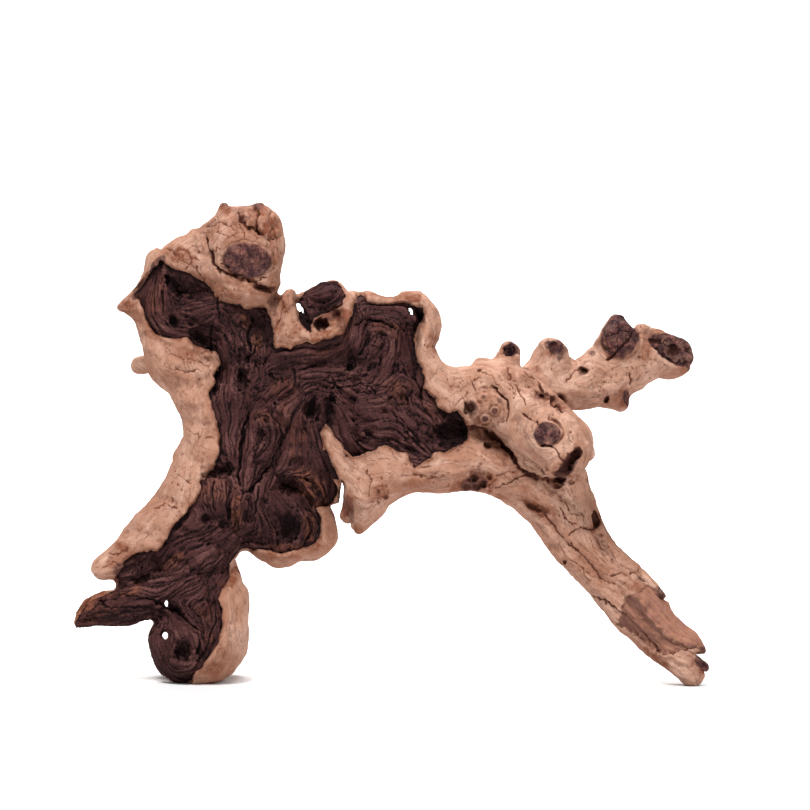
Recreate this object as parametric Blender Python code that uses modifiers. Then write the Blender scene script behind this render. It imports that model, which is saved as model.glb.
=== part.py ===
"""A mopani root: a gnarled piece of two-tone driftwood that stands on a broad foot and a long root.

The root grew as one piece and is split at its main forks into named solids. It is built from runs
of swellings, fused by a voxel remesh, then carved: hollows where the pale sapwood has broken away
from the dark heartwood, ropy folds of grain, pits, scars, a cleft, small holes right through and
two feet worn flat.
"""

import math

import bmesh
import bpy
import numpy as np
from mathutils import Matrix, Vector, noise

MM = 0.001

# The front view that the places below are measured in: a viewer this far off, this high.
VIEW_DISTANCE = 2400.0
VIEW_ELEVATION = math.radians(3.0)
VIEW_CENTRE_X = 9.0
VIEW_CENTRE_Z = 157.0

# The place, x across and y deep, that becomes the origin: the middle of the root's extent.
MIDDLE = (1.4, 4.2)

VOXEL = 2.0
FUSE_STEPS = 4
TRIANGLES = 7400
SAW_KERF = 0.3
BEYOND_CUT = 12.0
LUMP_SIZE = 26.0
LUMP_HEIGHT = 1.6
FOLD_PITCH = 9.0
FOLD_HEIGHT = 1.0
FOLD_WANDER = 5.0
HOLLOW_DEPTH = 2.6
FLAKE_DEPTH = 2.0
LEDGE_WIDTH = 3.0
FLOOR_BLOCK = (600.0, 400.0, 30.0)

SAPWOOD = ((0.60, 0.38, 0.25), 0.62)
HEARTWOOD = ((0.075, 0.032, 0.028), 0.58)

# Each run is a list of swellings (x, z, radius, y, half depth) in mm: x and z as seen from the
# front, with z = 0 on the floor, and y away from the viewer.
RUNS = {
    "crown top": [(-75, 190, 28, 4, 24), (-48, 191, 29, 6, 24), (-20, 191, 30, 8, 24),
                  (-3, 193, 28, 8, 22), (6, 199, 22, 6, 18), (14, 207, 15, 4, 13)],
    "crown middle": [(-72, 160, 34, 4, 24), (-35, 160, 36, 8, 24), (0, 160, 33, 6, 22),
                     (24, 150, 24, 2, 18)],
    "crown bottom": [(-50, 128, 30, 6, 22), (-15, 142, 28, 4, 20), (8, 140, 30, 0, 20),
                     (30, 136, 26, -2, 19)],
    "crown corner": [(8, 178, 20, 2, 16), (16, 166, 20, 2, 16)],
    "right rim": [(18, 212, 9, -4, 8), (22, 202, 7, -8, 7), (20, 192, 6, -9, 7),
                  (21, 182, 7, -9, 7), (26, 172, 9, -9, 8), (33, 163, 11, -8, 9)],
    "dark knob": [(-34, 218, 10, -6, 10), (-44, 214, 8, -2, 8)],
    "knob cup": [(-44, 199, 6, -12, 6), (-34, 198, 6, -14, 6), (-26, 204, 6, -12, 6),
                 (-24, 213, 6, -9, 6)],
    "rear burl left": [(-75, 178, 26, 22, 20), (-45, 170, 26, 28, 18)],
    "rear burl right": [(-15, 172, 26, 28, 18), (20, 160, 22, 20, 17), (48, 156, 18, 10, 16)],
    "rear burl low": [(-88, 130, 22, 20, 18), (-70, 105, 20, 18, 17)],

    "head": [(-82, 246, 23, -6, 22), (-80, 230, 19, -6, 20)],
    "brow": [(-98, 247, 16, -2, 18), (-104, 239, 17, 0, 18), (-120, 232, 18, 2, 17),
             (-127, 215, 18, 4, 17), (-122, 197, 19, 4, 18), (-118, 184, 20, 4, 19),
             (-112, 176, 17, 4, 18), (-108, 164, 13, 3, 17)],
    "neck": [(-95, 208, 28, 4, 20), (-85, 200, 28, 4, 22)],
    "crest left": [(-93, 264, 5, -2, 6), (-93, 269, 3.5, -2, 4)],
    "crest right": [(-74, 264, 6, -4, 6), (-73, 268.5, 4, -4, 4)],
    "crest side": [(-68, 259, 8, -4, 9)],
    "cheek tip": [(-136, 214, 11, 2, 10), (-144, 213, 6.5, 0, 6), (-151.5, 212, 2, -1, 2)],
    "cheek corner": [(-129.5, 239.5, 8, 4, 8)],
    "rear stub": [(-130, 180, 6, 20, 7), (-141, 180, 5.4, 26, 5.4)],
    "neck rim": [(-55.5, 219.5, 3.5, -10, 5), (-58, 208, 6, -12, 7), (-60, 197, 8, -12, 8)],

    "leg": [(-82, 140, 29, 3, 22), (-87, 122, 29, 2, 22), (-93, 108, 32, 2, 22),
            (-104, 92, 27, 0, 22), (-112, 76, 24, -2, 21), (-109, 62, 20, -2, 20),
            (-106, 50, 21, -2, 20)],
    "leg band": [(-106, 160, 14, 2, 18), (-100, 148, 16, 2, 18), (-99, 137, 14, 2, 18),
                 (-105, 121, 18, 2, 18), (-110, 108, 18, 0, 18), (-118, 96, 17, -2, 18),
                 (-129, 85, 16, -4, 17), (-138, 79, 14, -6, 15), (-146, 73, 11, -8, 12),
                 (-155, 68, 9.5, -10, 9), (-161.5, 64.5, 7.5, -11, 8)],
    "foot front": [(-103, 44, 24.5, -4, 19), (-107, 26, 27.5, -6, 19)],
    "foot rear": [(-102, 64, 16, 14, 16), (-102, 44, 23, 20, 20), (-106, 25.5, 26.5, 25, 22)],
    "heel": [(-131, 25, 5, -8, 6), (-114, 18, 19, -6, 17)],
    "lobe left": [(-75, 100, 24, 2, 20), (-61, 84, 18, 6, 18)],
    "lobe right": [(-56, 100, 20, 4, 20), (-44, 92, 15, 6, 16), (-44, 86, 16, 8, 17)],
    "lobe upper": [(-46, 118, 14, 2, 14), (-38, 112, 12, 2, 12)],
    "lobe flap": [(-33, 108, 5, 3, 6), (-29.5, 105, 3.5, 6, 4)],

    "spike crotch": [(-139, 62, 9, -8, 9), (-149, 59, 6, -9, 7)],
    "spike": [(-118, 57, 15, -5, 15), (-135, 49, 13, -10, 12), (-148, 44, 11.5, -13, 11),
              (-158, 43, 10, -16, 10), (-167, 41, 8, -18, 8), (-174, 36, 6, -20, 6),
              (-177, 33.5, 3.5, -21, 3.5)],

    "spur": [(-34, 141, 4.5, -18, 5), (-31, 130, 7, -19, 7), (-24, 119, 10, -18, 10),
             (-14, 111, 13, -15, 13), (-12, 102, 11, -12, 11), (-15, 94, 7, -10, 8),
             (-17, 88.5, 4.5, -9, 5)],
    "spur root": [(-14, 112, 12, -15, 12), (-1, 117, 15, -13, 13), (10, 121, 13, -10, 12)],
    "spur facet": [(-23, 108, 3.5, -4, 6), (-24, 95, 4.5, 0, 6)],

    "lower limb": [(10, 121, 13, -9, 12), (22, 121, 13, -9, 13), (35, 122.5, 14, -9, 14),
                   (48, 125, 16, -8, 15), (60, 123, 17, -6, 16), (72, 119, 18, -3, 17),
                   (84, 112, 19, 0, 18)],

    "knuckle": [(30, 165, 14, -4, 13), (38, 160, 18, -6, 16), (50, 160, 19, -8, 17),
                (60, 163, 19, -9, 17), (70, 158, 20, -13, 18), (82, 149, 19, -20, 18),
                (92, 140, 18, -26, 18), (98, 131, 16, -29, 17)],
    "knuckle lip": [(101, 137, 13, -20, 13), (111, 131, 5, -20, 6)],
    "knuckle root": [(70, 150, 18, 2, 16), (88, 132, 18, -6, 16), (95, 115, 17, -4, 16)],
    "horn": [(66, 178, 7, -4, 7), (67.5, 187, 5.8, -3, 6)],
    "knuckle bump": [(52, 180, 4, -6, 4)],
    "muzzle": [(56, 156, 9.5, -22, 7)],

    "long root": [(84, 112, 19, 0, 18), (94, 103, 20.5, 0, 19), (103.6, 87, 18, -2, 18),
                  (112.7, 72.6, 16.5, -5, 16.5), (124.6, 59.6, 15, -8, 15),
                  (137.3, 46.2, 16, -11, 15), (150.8, 30, 14, -14, 13), (161.5, 20, 13, -16, 12),
                  (171.5, 9, 10, -18, 9.5), (173, 4, 7.5, -18, 8)],
    "splinter high": [(170, 22, 5, -16, 6), (178.5, 19, 2.6, -17, 3.5)],
    "splinter low": [(174, 11, 5, -18, 6), (180, 8, 2.4, -19, 3)],
    "chip": [(149, 49, 5, -11, 6), (155, 47, 2.6, -11, 3)],

    "branch": [(72, 160, 16, 6, 16), (88, 166, 16, 14, 15), (99, 168, 15, 20, 15),
               (108, 168, 13.5, 26, 14), (120, 172, 16.5, 31, 15), (134, 178, 15, 36, 14),
               (141, 184, 15, 39, 13), (150, 186, 13.5, 42, 12.5), (160.5, 184, 12, 44, 11)],
    "branch stub": [(90, 176, 13, 15, 12), (91.5, 185, 10, 14, 9), (93, 190, 5, 13, 6)],
    "branch knob": [(124, 178, 14, 30, 13), (129, 190, 13, 28, 12), (128.5, 195, 13, 27, 11)],
    "branch crest": [(143, 197.5, 5, 40, 5)],
    "branch heel": [(127, 164, 8, 32, 8), (131, 158, 4.5, 31, 5)],
}

# Where the sapwood has broken away and the heartwood shows, as an outline seen from the front.
HEART_WINDOW = [
    (-128, 238), (-112, 230), (-99, 220), (-88, 214), (-70, 212), (-65, 201), (-60, 190),
    (-38, 194), (-25, 199), (-20, 222), (-12, 218), (9, 216), (20, 213), (15, 196), (20, 178),
    (27, 160), (40, 152), (45, 139), (27, 129), (20, 121), (11, 125), (-2, 134), (-23, 126),
    (-34, 147), (-38, 138), (-28, 106), (-39, 88), (-46, 76), (-78, 74), (-93, 55), (-93, 30),
    (-102, 10), (-115, -2), (-135, 12), (-136, 34), (-180, 28), (-165, 46), (-148, 66),
    (-142, 75), (-128, 78), (-113, 96), (-103, 118), (-96, 134), (-101, 158), (-97, 184),
    (-114, 193), (-132, 198), (-142, 219),
]

# Where a long flake has come off the end of the long root.
FLAKE_SCAR = [(154, 54), (144, 56), (132, 49), (128, 33), (141, 27), (153, 16), (176, 20),
              (180, 24), (166, 40)]

# Hollows seen from the front: (x, z, radius, depth) in mm.
FRONT_PITS = [
    (36, 142, 10, 8), (-118, 222, 6, 4), (-74, 200, 10, 6), (-83, 178, 9, 4), (-38, 203, 5, 6),
    (-36, 156, 6, 6), (-56, 107, 9, 6), (-60, 88, 11, 5), (-112, 20, 9, 7), (-118, 40, 5, 5),
    (-72, 141, 5, 3), (10, 152, 7, 2.5), (-5, 196, 8, 2.5), (46, 156, 4.5, 6), (55, 134, 4, 6),
    (98, 160, 4.5, 5), (110, 177, 4, 4), (116, 94, 4, 5), (48, 110, 5, 5), (106, 127, 5, 8),
    (99, 120, 5, 8), (160, 187, 5, 4), (93, 188, 3.5, 3),
]

# Hollows seen from behind, with x and z still as in the front view.
REAR_PITS = [
    (-95, 215, 9, 5), (-40, 190, 11, 6), (-5, 150, 9, 5), (-75, 140, 8, 4), (-100, 70, 8, 5),
    (60, 140, 9, 5), (105, 80, 6, 4), (125, 185, 7, 4),
]

# Round scars of lost branches: (x, z, radius, height of the boss, depth of the groove).
SCARS = [(-81, 239, 12.5, 1.5, 1.6), (89, 141, 8, 2.0, 1.4), (129, 194, 9, 0.6, 1.0)]

# Knots that the heartwood's grain flows round: (x, z, radius, strength).
KNOTS = [(-71, 143, 13, 26), (-112, 21, 15, 30), (-37, 203, 12, 22), (-5, 196, 14, 24),
         (12, 152, 12, -22), (-53, 90, 13, 26), (-122, 212, 14, 24), (-74, 200, 12, 20),
         (-37, 158, 10, 18), (-100, 108, 9, 14)]

# Small holes right through: (x, z, half width, half height, lean in degrees).
THROUGH_HOLES = [(-48.8, 211.3, 1.7, 3.6, 25), (12.4, 211, 1.7, 2.6, 20),
                 (-125.4, 45.2, 1.5, 2.4, 10), (-126.6, 26.6, 1.7, 2.6, -10)]

# The narrow cleft between the hanging lobes and the spur, seen from the front.
CLEFT = [(-27.0, 114), (-25.2, 110), (-25.0, 103), (-28.0, 94), (-25.0, 90), (-19.5, 86.5),
         (-19.5, 78), (-27.0, 78), (-29.5, 90), (-33.5, 100), (-28.5, 102), (-28.0, 108)]

# The saw cuts at the forks: the node that grows beyond the cut, a point on it (x, z, y), the way
# that the node grows (x, z, y), and the blade's half width and half depth.
FORKS = [
    ("head", (-94, 214, 2), (-0.35, 0.94, 0.0), 52, 40),
    ("left_root", (-84, 128, 6), (-0.3, -0.95, 0.0), 61, 50),
    ("side_spike", (-148.75, 45.3, -12), (-0.849, -0.529, 0.0), 15.8, 22),
    ("drop_spur", (-8.7, 107, -12), (-0.167, -0.986, 0.0), 18.5, 30),
    ("knuckle", (43, 143, 0), (0.99, 0.12, 0.0), 46, 50),
    ("long_root", (90, 107.5, -3), (0.447, -0.894, 0.0), 26, 30),
    ("high_branch", (90, 165, 16), (0.76, 0.65, 0.3), 21, 25),
]
CORE_NODE = "heart_crown"
DARK_NODES = ("heart_crown", "left_root", "side_spike")


def seen(x, z, y=0.0):
    """The real place, in metres, of a point seen from the front at (x, z) mm and at depth y."""
    across, up = x - VIEW_CENTRE_X, z - VIEW_CENTRE_Z
    reach = VIEW_DISTANCE * math.cos(VIEW_ELEVATION)
    rise = VIEW_DISTANCE * math.sin(VIEW_ELEVATION)
    along = (y + reach) / (reach + up * math.sin(VIEW_ELEVATION))
    height = VIEW_CENTRE_Z + rise + along * (up * math.cos(VIEW_ELEVATION) - rise)
    return Vector((VIEW_CENTRE_X + along * across - MIDDLE[0], y - MIDDLE[1], height)) * MM


def front_view(points):
    """Where real points, in metres, are seen from the front: x and z in mm."""
    across, deep, up = (points / MM - (VIEW_CENTRE_X - MIDDLE[0], -MIDDLE[1], VIEW_CENTRE_Z)).T
    sine, cosine = math.sin(VIEW_ELEVATION), math.cos(VIEW_ELEVATION)
    scale = VIEW_DISTANCE / (deep * cosine - up * sine + VIEW_DISTANCE)
    return VIEW_CENTRE_X + across * scale, VIEW_CENTRE_Z + (deep * sine + up * cosine) * scale


def clear_scene():
    for obj in list(bpy.data.objects):
        bpy.data.objects.remove(obj, do_unlink=True)


def new_collection(name):
    collection = bpy.data.collections.new(name)
    bpy.context.scene.collection.children.link(collection)
    return collection


def new_material(name, colour, roughness):
    material = bpy.data.materials.new(name)
    material.use_nodes = True
    shader = material.node_tree.nodes["Principled BSDF"]
    shader.inputs["Base Color"].default_value = (*colour, 1.0)
    shader.inputs["Roughness"].default_value = roughness
    shader.inputs["Metallic"].default_value = 0.0
    return material


def new_object(name, mesh, collection):
    obj = bpy.data.objects.new(name, mesh)
    collection.objects.link(obj)
    return obj


def mesh_from(bm, name):
    mesh = bpy.data.meshes.new(name)
    bm.to_mesh(mesh)
    bm.free()
    return mesh


def new_cutter(name, mesh, collection):
    cutter = new_object(name, mesh, collection)
    cutter.hide_render = True
    cutter.display_type = "WIRE"
    return cutter


def add_swelling(bm, x, z, radius, y, half_depth):
    place = Matrix.Translation(seen(x, z, y))
    size = Matrix.Diagonal((radius * MM, half_depth * MM, radius * MM, 1.0))
    bmesh.ops.create_icosphere(bm, subdivisions=3, radius=1.0, matrix=place @ size)


def add_run(bm, stations):
    """Swellings along a run, close enough together that the run has a smooth outline."""
    add_swelling(bm, *stations[0])
    for start, end in zip(stations, stations[1:]):
        gap = math.dist((start[0], start[1], start[3]), (end[0], end[1], end[3]))
        steps = max(1, math.ceil(gap / (0.3 * min(start[2], end[2]))))
        for step in range(1, steps + 1):
            share = step / steps
            add_swelling(bm, *(a + (b - a) * share for a, b in zip(start, end)))


def bake_modifiers(obj):
    """Makes the object's mesh the one that its modifiers give."""
    graph = bpy.context.evaluated_depsgraph_get()
    mesh = bpy.data.meshes.new_from_object(obj.evaluated_get(graph))
    obj.modifiers.clear()
    obj.data = mesh


def fused_root(collection):
    """All the runs as one closed skin, with the creases between them healed."""
    bm = bmesh.new()
    for stations in RUNS.values():
        add_run(bm, stations)
    root = new_object("root", mesh_from(bm, "root"), collection)
    remesh = root.modifiers.new("fuse", "REMESH")
    remesh.mode = "VOXEL"
    remesh.voxel_size = VOXEL * MM
    smooth = root.modifiers.new("heal", "SMOOTH")
    smooth.factor = 0.5
    smooth.iterations = FUSE_STEPS
    bake_modifiers(root)
    return root


def smoothstep(low, high, value):
    share = np.clip((value - low) / (high - low), 0.0, 1.0)
    return share * share * (3.0 - 2.0 * share)


def inside_distance(x, z, outline):
    """How far each point is inside an outline, in mm. It is negative outside."""
    inside = np.zeros(len(x), bool)
    nearest = np.full(len(x), np.inf)
    for (ax, az), (bx, bz) in zip(outline, outline[1:] + outline[:1]):
        run, rise = bx - ax, bz - az
        share = np.clip(((x - ax) * run + (z - az) * rise) / (run * run + rise * rise), 0.0, 1.0)
        nearest = np.minimum(nearest, np.hypot(x - ax - run * share, z - az - rise * share))
        if rise:
            inside ^= ((az > z) != (bz > z)) & (x < ax + (z - az) * run / rise)
    return np.where(inside, nearest, -nearest)


def ledge(x, z, outline):
    """0 outside an outline and 1 inside, with a short slope between them."""
    return smoothstep(-0.4 * LEDGE_WIDTH, 0.6 * LEDGE_WIDTH, inside_distance(x, z, outline))


def pit_depth(x, z, pits):
    depth = np.zeros(len(x))
    for pit_x, pit_z, radius, deep in pits:
        apart = np.hypot(x - pit_x, z - pit_z) / radius
        depth = np.maximum(depth, deep * (1.0 - smoothstep(0.35, 1.5, apart)))
    return depth


def scar_height(x, z):
    """A boss with a groove round it, wherever a branch was lost."""
    height = np.zeros(len(x))
    for scar_x, scar_z, radius, boss, groove in SCARS:
        apart = np.hypot(x - scar_x, z - scar_z) / radius
        height += boss * (1.0 - smoothstep(0.6, 1.0, apart))
        height -= groove * np.exp(-(((apart - 1.05) / 0.16) ** 2))
    return height


def across_grain(x, z):
    """Distance across the grain: it runs down the leg, then bends level over the crown."""
    level = smoothstep(-70.0, -20.0, x + 0.4 * (z - 150.0))
    grain = (1.0 - level) * (0.96 * x - 0.27 * z) + level * (z + 6.0 * np.sin(x / 13.0))
    for knot_x, knot_z, radius, strength in KNOTS:
        grain += strength * np.exp(-((x - knot_x) ** 2 + (z - knot_z) ** 2) / (2 * radius**2))
    return grain


def wobble(points, size, offset=0.0):
    """Smooth noise from -1 to 1 at each point, with bumps of about the given size in mm."""
    shift = Vector((offset, offset, offset))
    return np.array([noise.noise(Vector(point) / (size * MM) + shift) for point in points])


def carve(root):
    """Moves the skin in and out: lumps all over, hollows, folds, pits and scars where they lie."""
    mesh = root.data
    points = np.empty(len(mesh.vertices) * 3)
    mesh.vertices.foreach_get("co", points)
    points = points.reshape(-1, 3)
    normals = np.empty(len(mesh.vertices) * 3)
    mesh.vertex_normals.foreach_get("vector", normals)
    normals = normals.reshape(-1, 3)
    x, z = front_view(points)
    front = smoothstep(0.1, 0.6, -normals[:, 1])
    rear = smoothstep(0.1, 0.6, normals[:, 1])
    opened = front * ledge(x, z, HEART_WINDOW)
    flaked = front * ledge(x, z, FLAKE_SCAR)
    grain = across_grain(x, z) + FOLD_WANDER * wobble(points, 18.0, 7.0)
    folds = FOLD_HEIGHT * np.cos(2 * math.pi * grain / FOLD_PITCH) * (0.6 + wobble(points, 15.0))
    lift = LUMP_HEIGHT * wobble(points, LUMP_SIZE) + opened * (folds - HOLLOW_DEPTH)
    lift -= flaked * FLAKE_DEPTH
    lift += front * (scar_height(x, z) - pit_depth(x, z, FRONT_PITS))
    lift -= rear * pit_depth(x, z, REAR_PITS)
    points += normals * lift[:, None] * MM
    mesh.vertices.foreach_set("co", points.ravel())
    mesh.update()


def thin_out(root):
    """Fewer, better placed triangles, dense only where the form turns."""
    triangulate = root.modifiers.new("triangles", "TRIANGULATE")
    triangulate.quad_method = "BEAUTY"
    bake_modifiers(root)
    decimate = root.modifiers.new("thin", "DECIMATE")
    decimate.ratio = TRIANGLES / len(root.data.polygons)
    bake_modifiers(root)


def floor_cutter(collection):
    """A block below the floor, which wears the feet flat."""
    bm = bmesh.new()
    place = Matrix.Translation((0.0, 0.0, -0.5 * FLOOR_BLOCK[2] * MM))
    size = Matrix.Diagonal((*(side * MM for side in FLOOR_BLOCK), 1.0))
    bmesh.ops.create_cube(bm, size=1.0, matrix=place @ size)
    return new_cutter("floor", mesh_from(bm, "floor"), collection)


def cleft_cutter(collection):
    """The cleft's outline, drawn out along the line of sight."""
    curve = bpy.data.curves.new("cleft", "CURVE")
    curve.dimensions = "2D"
    curve.fill_mode = "BOTH"
    curve.extrude = 80 * MM
    spline = curve.splines.new("POLY")
    spline.points.add(len(CLEFT) - 1)
    spline.use_cyclic_u = True
    for point, (x, z) in zip(spline.points, CLEFT):
        point.co = (x * MM, z * MM, 0.0, 1.0)
    outline = new_object("cleft outline", curve, collection)
    graph = bpy.context.evaluated_depsgraph_get()
    bm = bmesh.new()
    bm.from_mesh(bpy.data.meshes.new_from_object(outline.evaluated_get(graph)))
    bpy.data.objects.remove(outline)
    bmesh.ops.remove_doubles(bm, verts=bm.verts, dist=0.01 * MM)
    upright = Matrix.Rotation(math.pi / 2, 4, "X")
    shift = Matrix.Translation((-MIDDLE[0] * MM, 0.0, 0.0))
    bmesh.ops.transform(bm, matrix=shift @ upright, verts=bm.verts)
    bmesh.ops.recalc_face_normals(bm, faces=bm.faces)
    return new_cutter("cleft", mesh_from(bm, "cleft"), collection)


def drill(name, x, z, half_width, half_height, lean, collection):
    """An oval drill along the line of sight."""
    bm = bmesh.new()
    size = Matrix.Diagonal((half_width * MM, half_height * MM, 0.2, 1.0))
    turn = Matrix.Rotation(math.radians(lean), 4, "Y") @ Matrix.Rotation(math.pi / 2, 4, "X")
    place = Matrix.Translation(seen(x, z)) @ Matrix.Rotation(-VIEW_ELEVATION, 4, "X")
    bmesh.ops.create_cone(bm, cap_ends=True, segments=12, radius1=1.0, radius2=1.0, depth=1.0,
                          matrix=place @ turn @ size)
    return new_cutter(name, mesh_from(bm, name), collection)


def growth_direction(growth):
    across, up, deep = growth
    return Vector((across, deep, up)).normalized()


def saw(name, spot, growth, half_width, half_depth, collection):
    """A thin blade across a fork, which parts a node from the one that it grows from."""
    along = growth_direction(growth)
    sideways = Vector((0.0, 1.0, 0.0)).cross(along).normalized()
    turn = Matrix((sideways, along.cross(sideways), along)).transposed().to_4x4()
    size = Matrix.Diagonal((2 * half_width * MM, 2 * half_depth * MM, SAW_KERF * MM, 1.0))
    bm = bmesh.new()
    place = Matrix.Translation(seen(*spot))
    bmesh.ops.create_cube(bm, size=1.0, matrix=place @ turn @ size)
    return new_cutter("saw " + name, mesh_from(bm, name), collection)


def cut(root, cutter):
    boolean = root.modifiers.new(cutter.name, "BOOLEAN")
    boolean.operation = "DIFFERENCE"
    boolean.solver = "EXACT"
    boolean.object = cutter
    bake_modifiers(root)


def loose_shells(mesh):
    """The separate shells of a mesh, each as a new mesh."""
    bm = bmesh.new()
    bm.from_mesh(mesh)
    bm.faces.ensure_lookup_table()
    waiting = set(range(len(bm.faces)))
    shells = []
    while waiting:
        shell = set()
        edge = {min(waiting)}
        while edge:
            shell |= edge
            beside = {n.index for i in edge for e in bm.faces[i].edges for n in e.link_faces}
            waiting -= edge
            edge = beside & waiting
        part = bm.copy()
        others = [face for face in part.faces if face.index not in shell]
        bmesh.ops.delete(part, geom=others, context="FACES")
        shells.append(mesh_from(part, "shell"))
    bm.free()
    return shells


def nearest(shells, point):
    """The shell that has the vertex nearest to a point."""
    return min(shells, key=lambda shell: min((v.co - point).length for v in shell.vertices))


def split_at_forks(root, collection, cutters):
    """Saws the root at its forks, and names each piece by the fork that it grows from."""
    for name, spot, growth, half_width, half_depth in FORKS:
        cut(root, saw(name, spot, growth, half_width, half_depth, cutters))
    shells = loose_shells(root.data)
    bpy.data.objects.remove(root)
    for name, spot, growth, _, _ in FORKS:
        beyond = growth_direction(growth) * BEYOND_CUT * MM
        shell = nearest(shells, seen(*spot) + beyond)
        shells.remove(shell)
        new_object(name, shell, collection)
    new_object(CORE_NODE, shells[0], collection)


def main():
    clear_scene()
    collection = new_collection("mopani_root")
    cutters = new_collection("cutters")
    root = fused_root(collection)
    carve(root)
    thin_out(root)
    cut(root, floor_cutter(cutters))
    cut(root, cleft_cutter(cutters))
    for index, hole in enumerate(THROUGH_HOLES):
        cut(root, drill(f"hole {index + 1}", *hole, cutters))
    split_at_forks(root, collection, cutters)
    sapwood = new_material("sapwood", *SAPWOOD)
    heartwood = new_material("heartwood", *HEARTWOOD)
    for obj in collection.objects:
        obj.data.materials.clear()
        obj.data.materials.append(heartwood if obj.name in DARK_NODES else sapwood)


main()
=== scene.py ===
"""Dresses the mopani root: grows its skin, erodes the heartwood, saws it at its forks, lights it.

The skin is one field of distances round the same runs of swellings as the solids. Ledges, hollows,
scars and holes are carved into the field, the grain is combed along the wood's flow on the mesh
made from it, and the mesh is then sawn at the forks so that each piece replaces its own solid.
"""

import math

import bmesh
import bpy
import numpy as np
import openvdb
from bpy.props import FloatProperty, FloatVectorProperty, IntProperty, PointerProperty
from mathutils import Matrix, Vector, noise


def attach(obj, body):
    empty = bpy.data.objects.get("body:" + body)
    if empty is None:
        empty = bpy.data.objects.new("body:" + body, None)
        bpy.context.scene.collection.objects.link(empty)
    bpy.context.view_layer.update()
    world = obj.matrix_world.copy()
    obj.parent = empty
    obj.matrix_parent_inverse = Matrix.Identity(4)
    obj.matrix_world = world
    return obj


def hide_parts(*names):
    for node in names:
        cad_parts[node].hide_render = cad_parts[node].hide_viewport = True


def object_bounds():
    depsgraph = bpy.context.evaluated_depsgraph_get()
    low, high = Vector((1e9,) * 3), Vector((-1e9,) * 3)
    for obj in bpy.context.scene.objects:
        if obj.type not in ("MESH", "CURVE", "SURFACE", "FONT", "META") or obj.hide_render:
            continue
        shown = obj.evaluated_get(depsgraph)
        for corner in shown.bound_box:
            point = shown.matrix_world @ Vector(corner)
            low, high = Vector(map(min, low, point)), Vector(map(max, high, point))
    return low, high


bl_info = {
    "name": "Mopani Root",
    "version": (1, 0, 0),
    "blender": (4, 5, 0),
    "location": "3D View > Sidebar > Mopani Root",
    "description": "Grows the weathered skin of a two-tone mopani root and the stage round it",
    "category": "Object",
}

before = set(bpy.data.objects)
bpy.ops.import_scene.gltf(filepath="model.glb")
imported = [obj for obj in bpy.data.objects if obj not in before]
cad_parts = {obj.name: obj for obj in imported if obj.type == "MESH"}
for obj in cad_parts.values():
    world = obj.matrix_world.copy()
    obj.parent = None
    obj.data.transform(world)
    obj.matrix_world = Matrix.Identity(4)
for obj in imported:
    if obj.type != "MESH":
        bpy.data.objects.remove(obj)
CAD_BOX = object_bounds()

MM = 0.001

# The front view that the places below are measured in: a viewer this far off, this high.
VIEW_DISTANCE = 2400.0
VIEW_ELEVATION = math.radians(3.0)
VIEW_CENTRE_X = 9.0
VIEW_CENTRE_Z = 157.0
VIEW_WIDTH = 457.65
SENSOR_WIDTH = 36.0

# The place, x across and y deep, that becomes the origin.
MIDDLE = (1.4, 4.2)

# The block of space, in mm, that the skin is grown in, and how far from it distances are kept.
LOW = (-186.0, -58.0, -4.2)
HIGH = (186.0, 58.0, 278.0)
FAR = 11.0

# The rectangle of the front view that features are drawn in, and the distance between its points.
VIEW_LOW = (-192.0, -12.0)
VIEW_HIGH = (194.0, 284.0)
VIEW_PITCH = 0.4

NOISE_CELLS = 128
NOISE_SIGMA = 2.0
CELLS_TO_A_LUMP = 8.0
NOISE_SHIFT = 37.7

# How many cells of the field are carved at once, which bounds the memory.
CELLS_AT_ONCE = 1000000

# How far the skin stays inside the solids' box.
SKIN_MARGIN = 0.05 * MM

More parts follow.
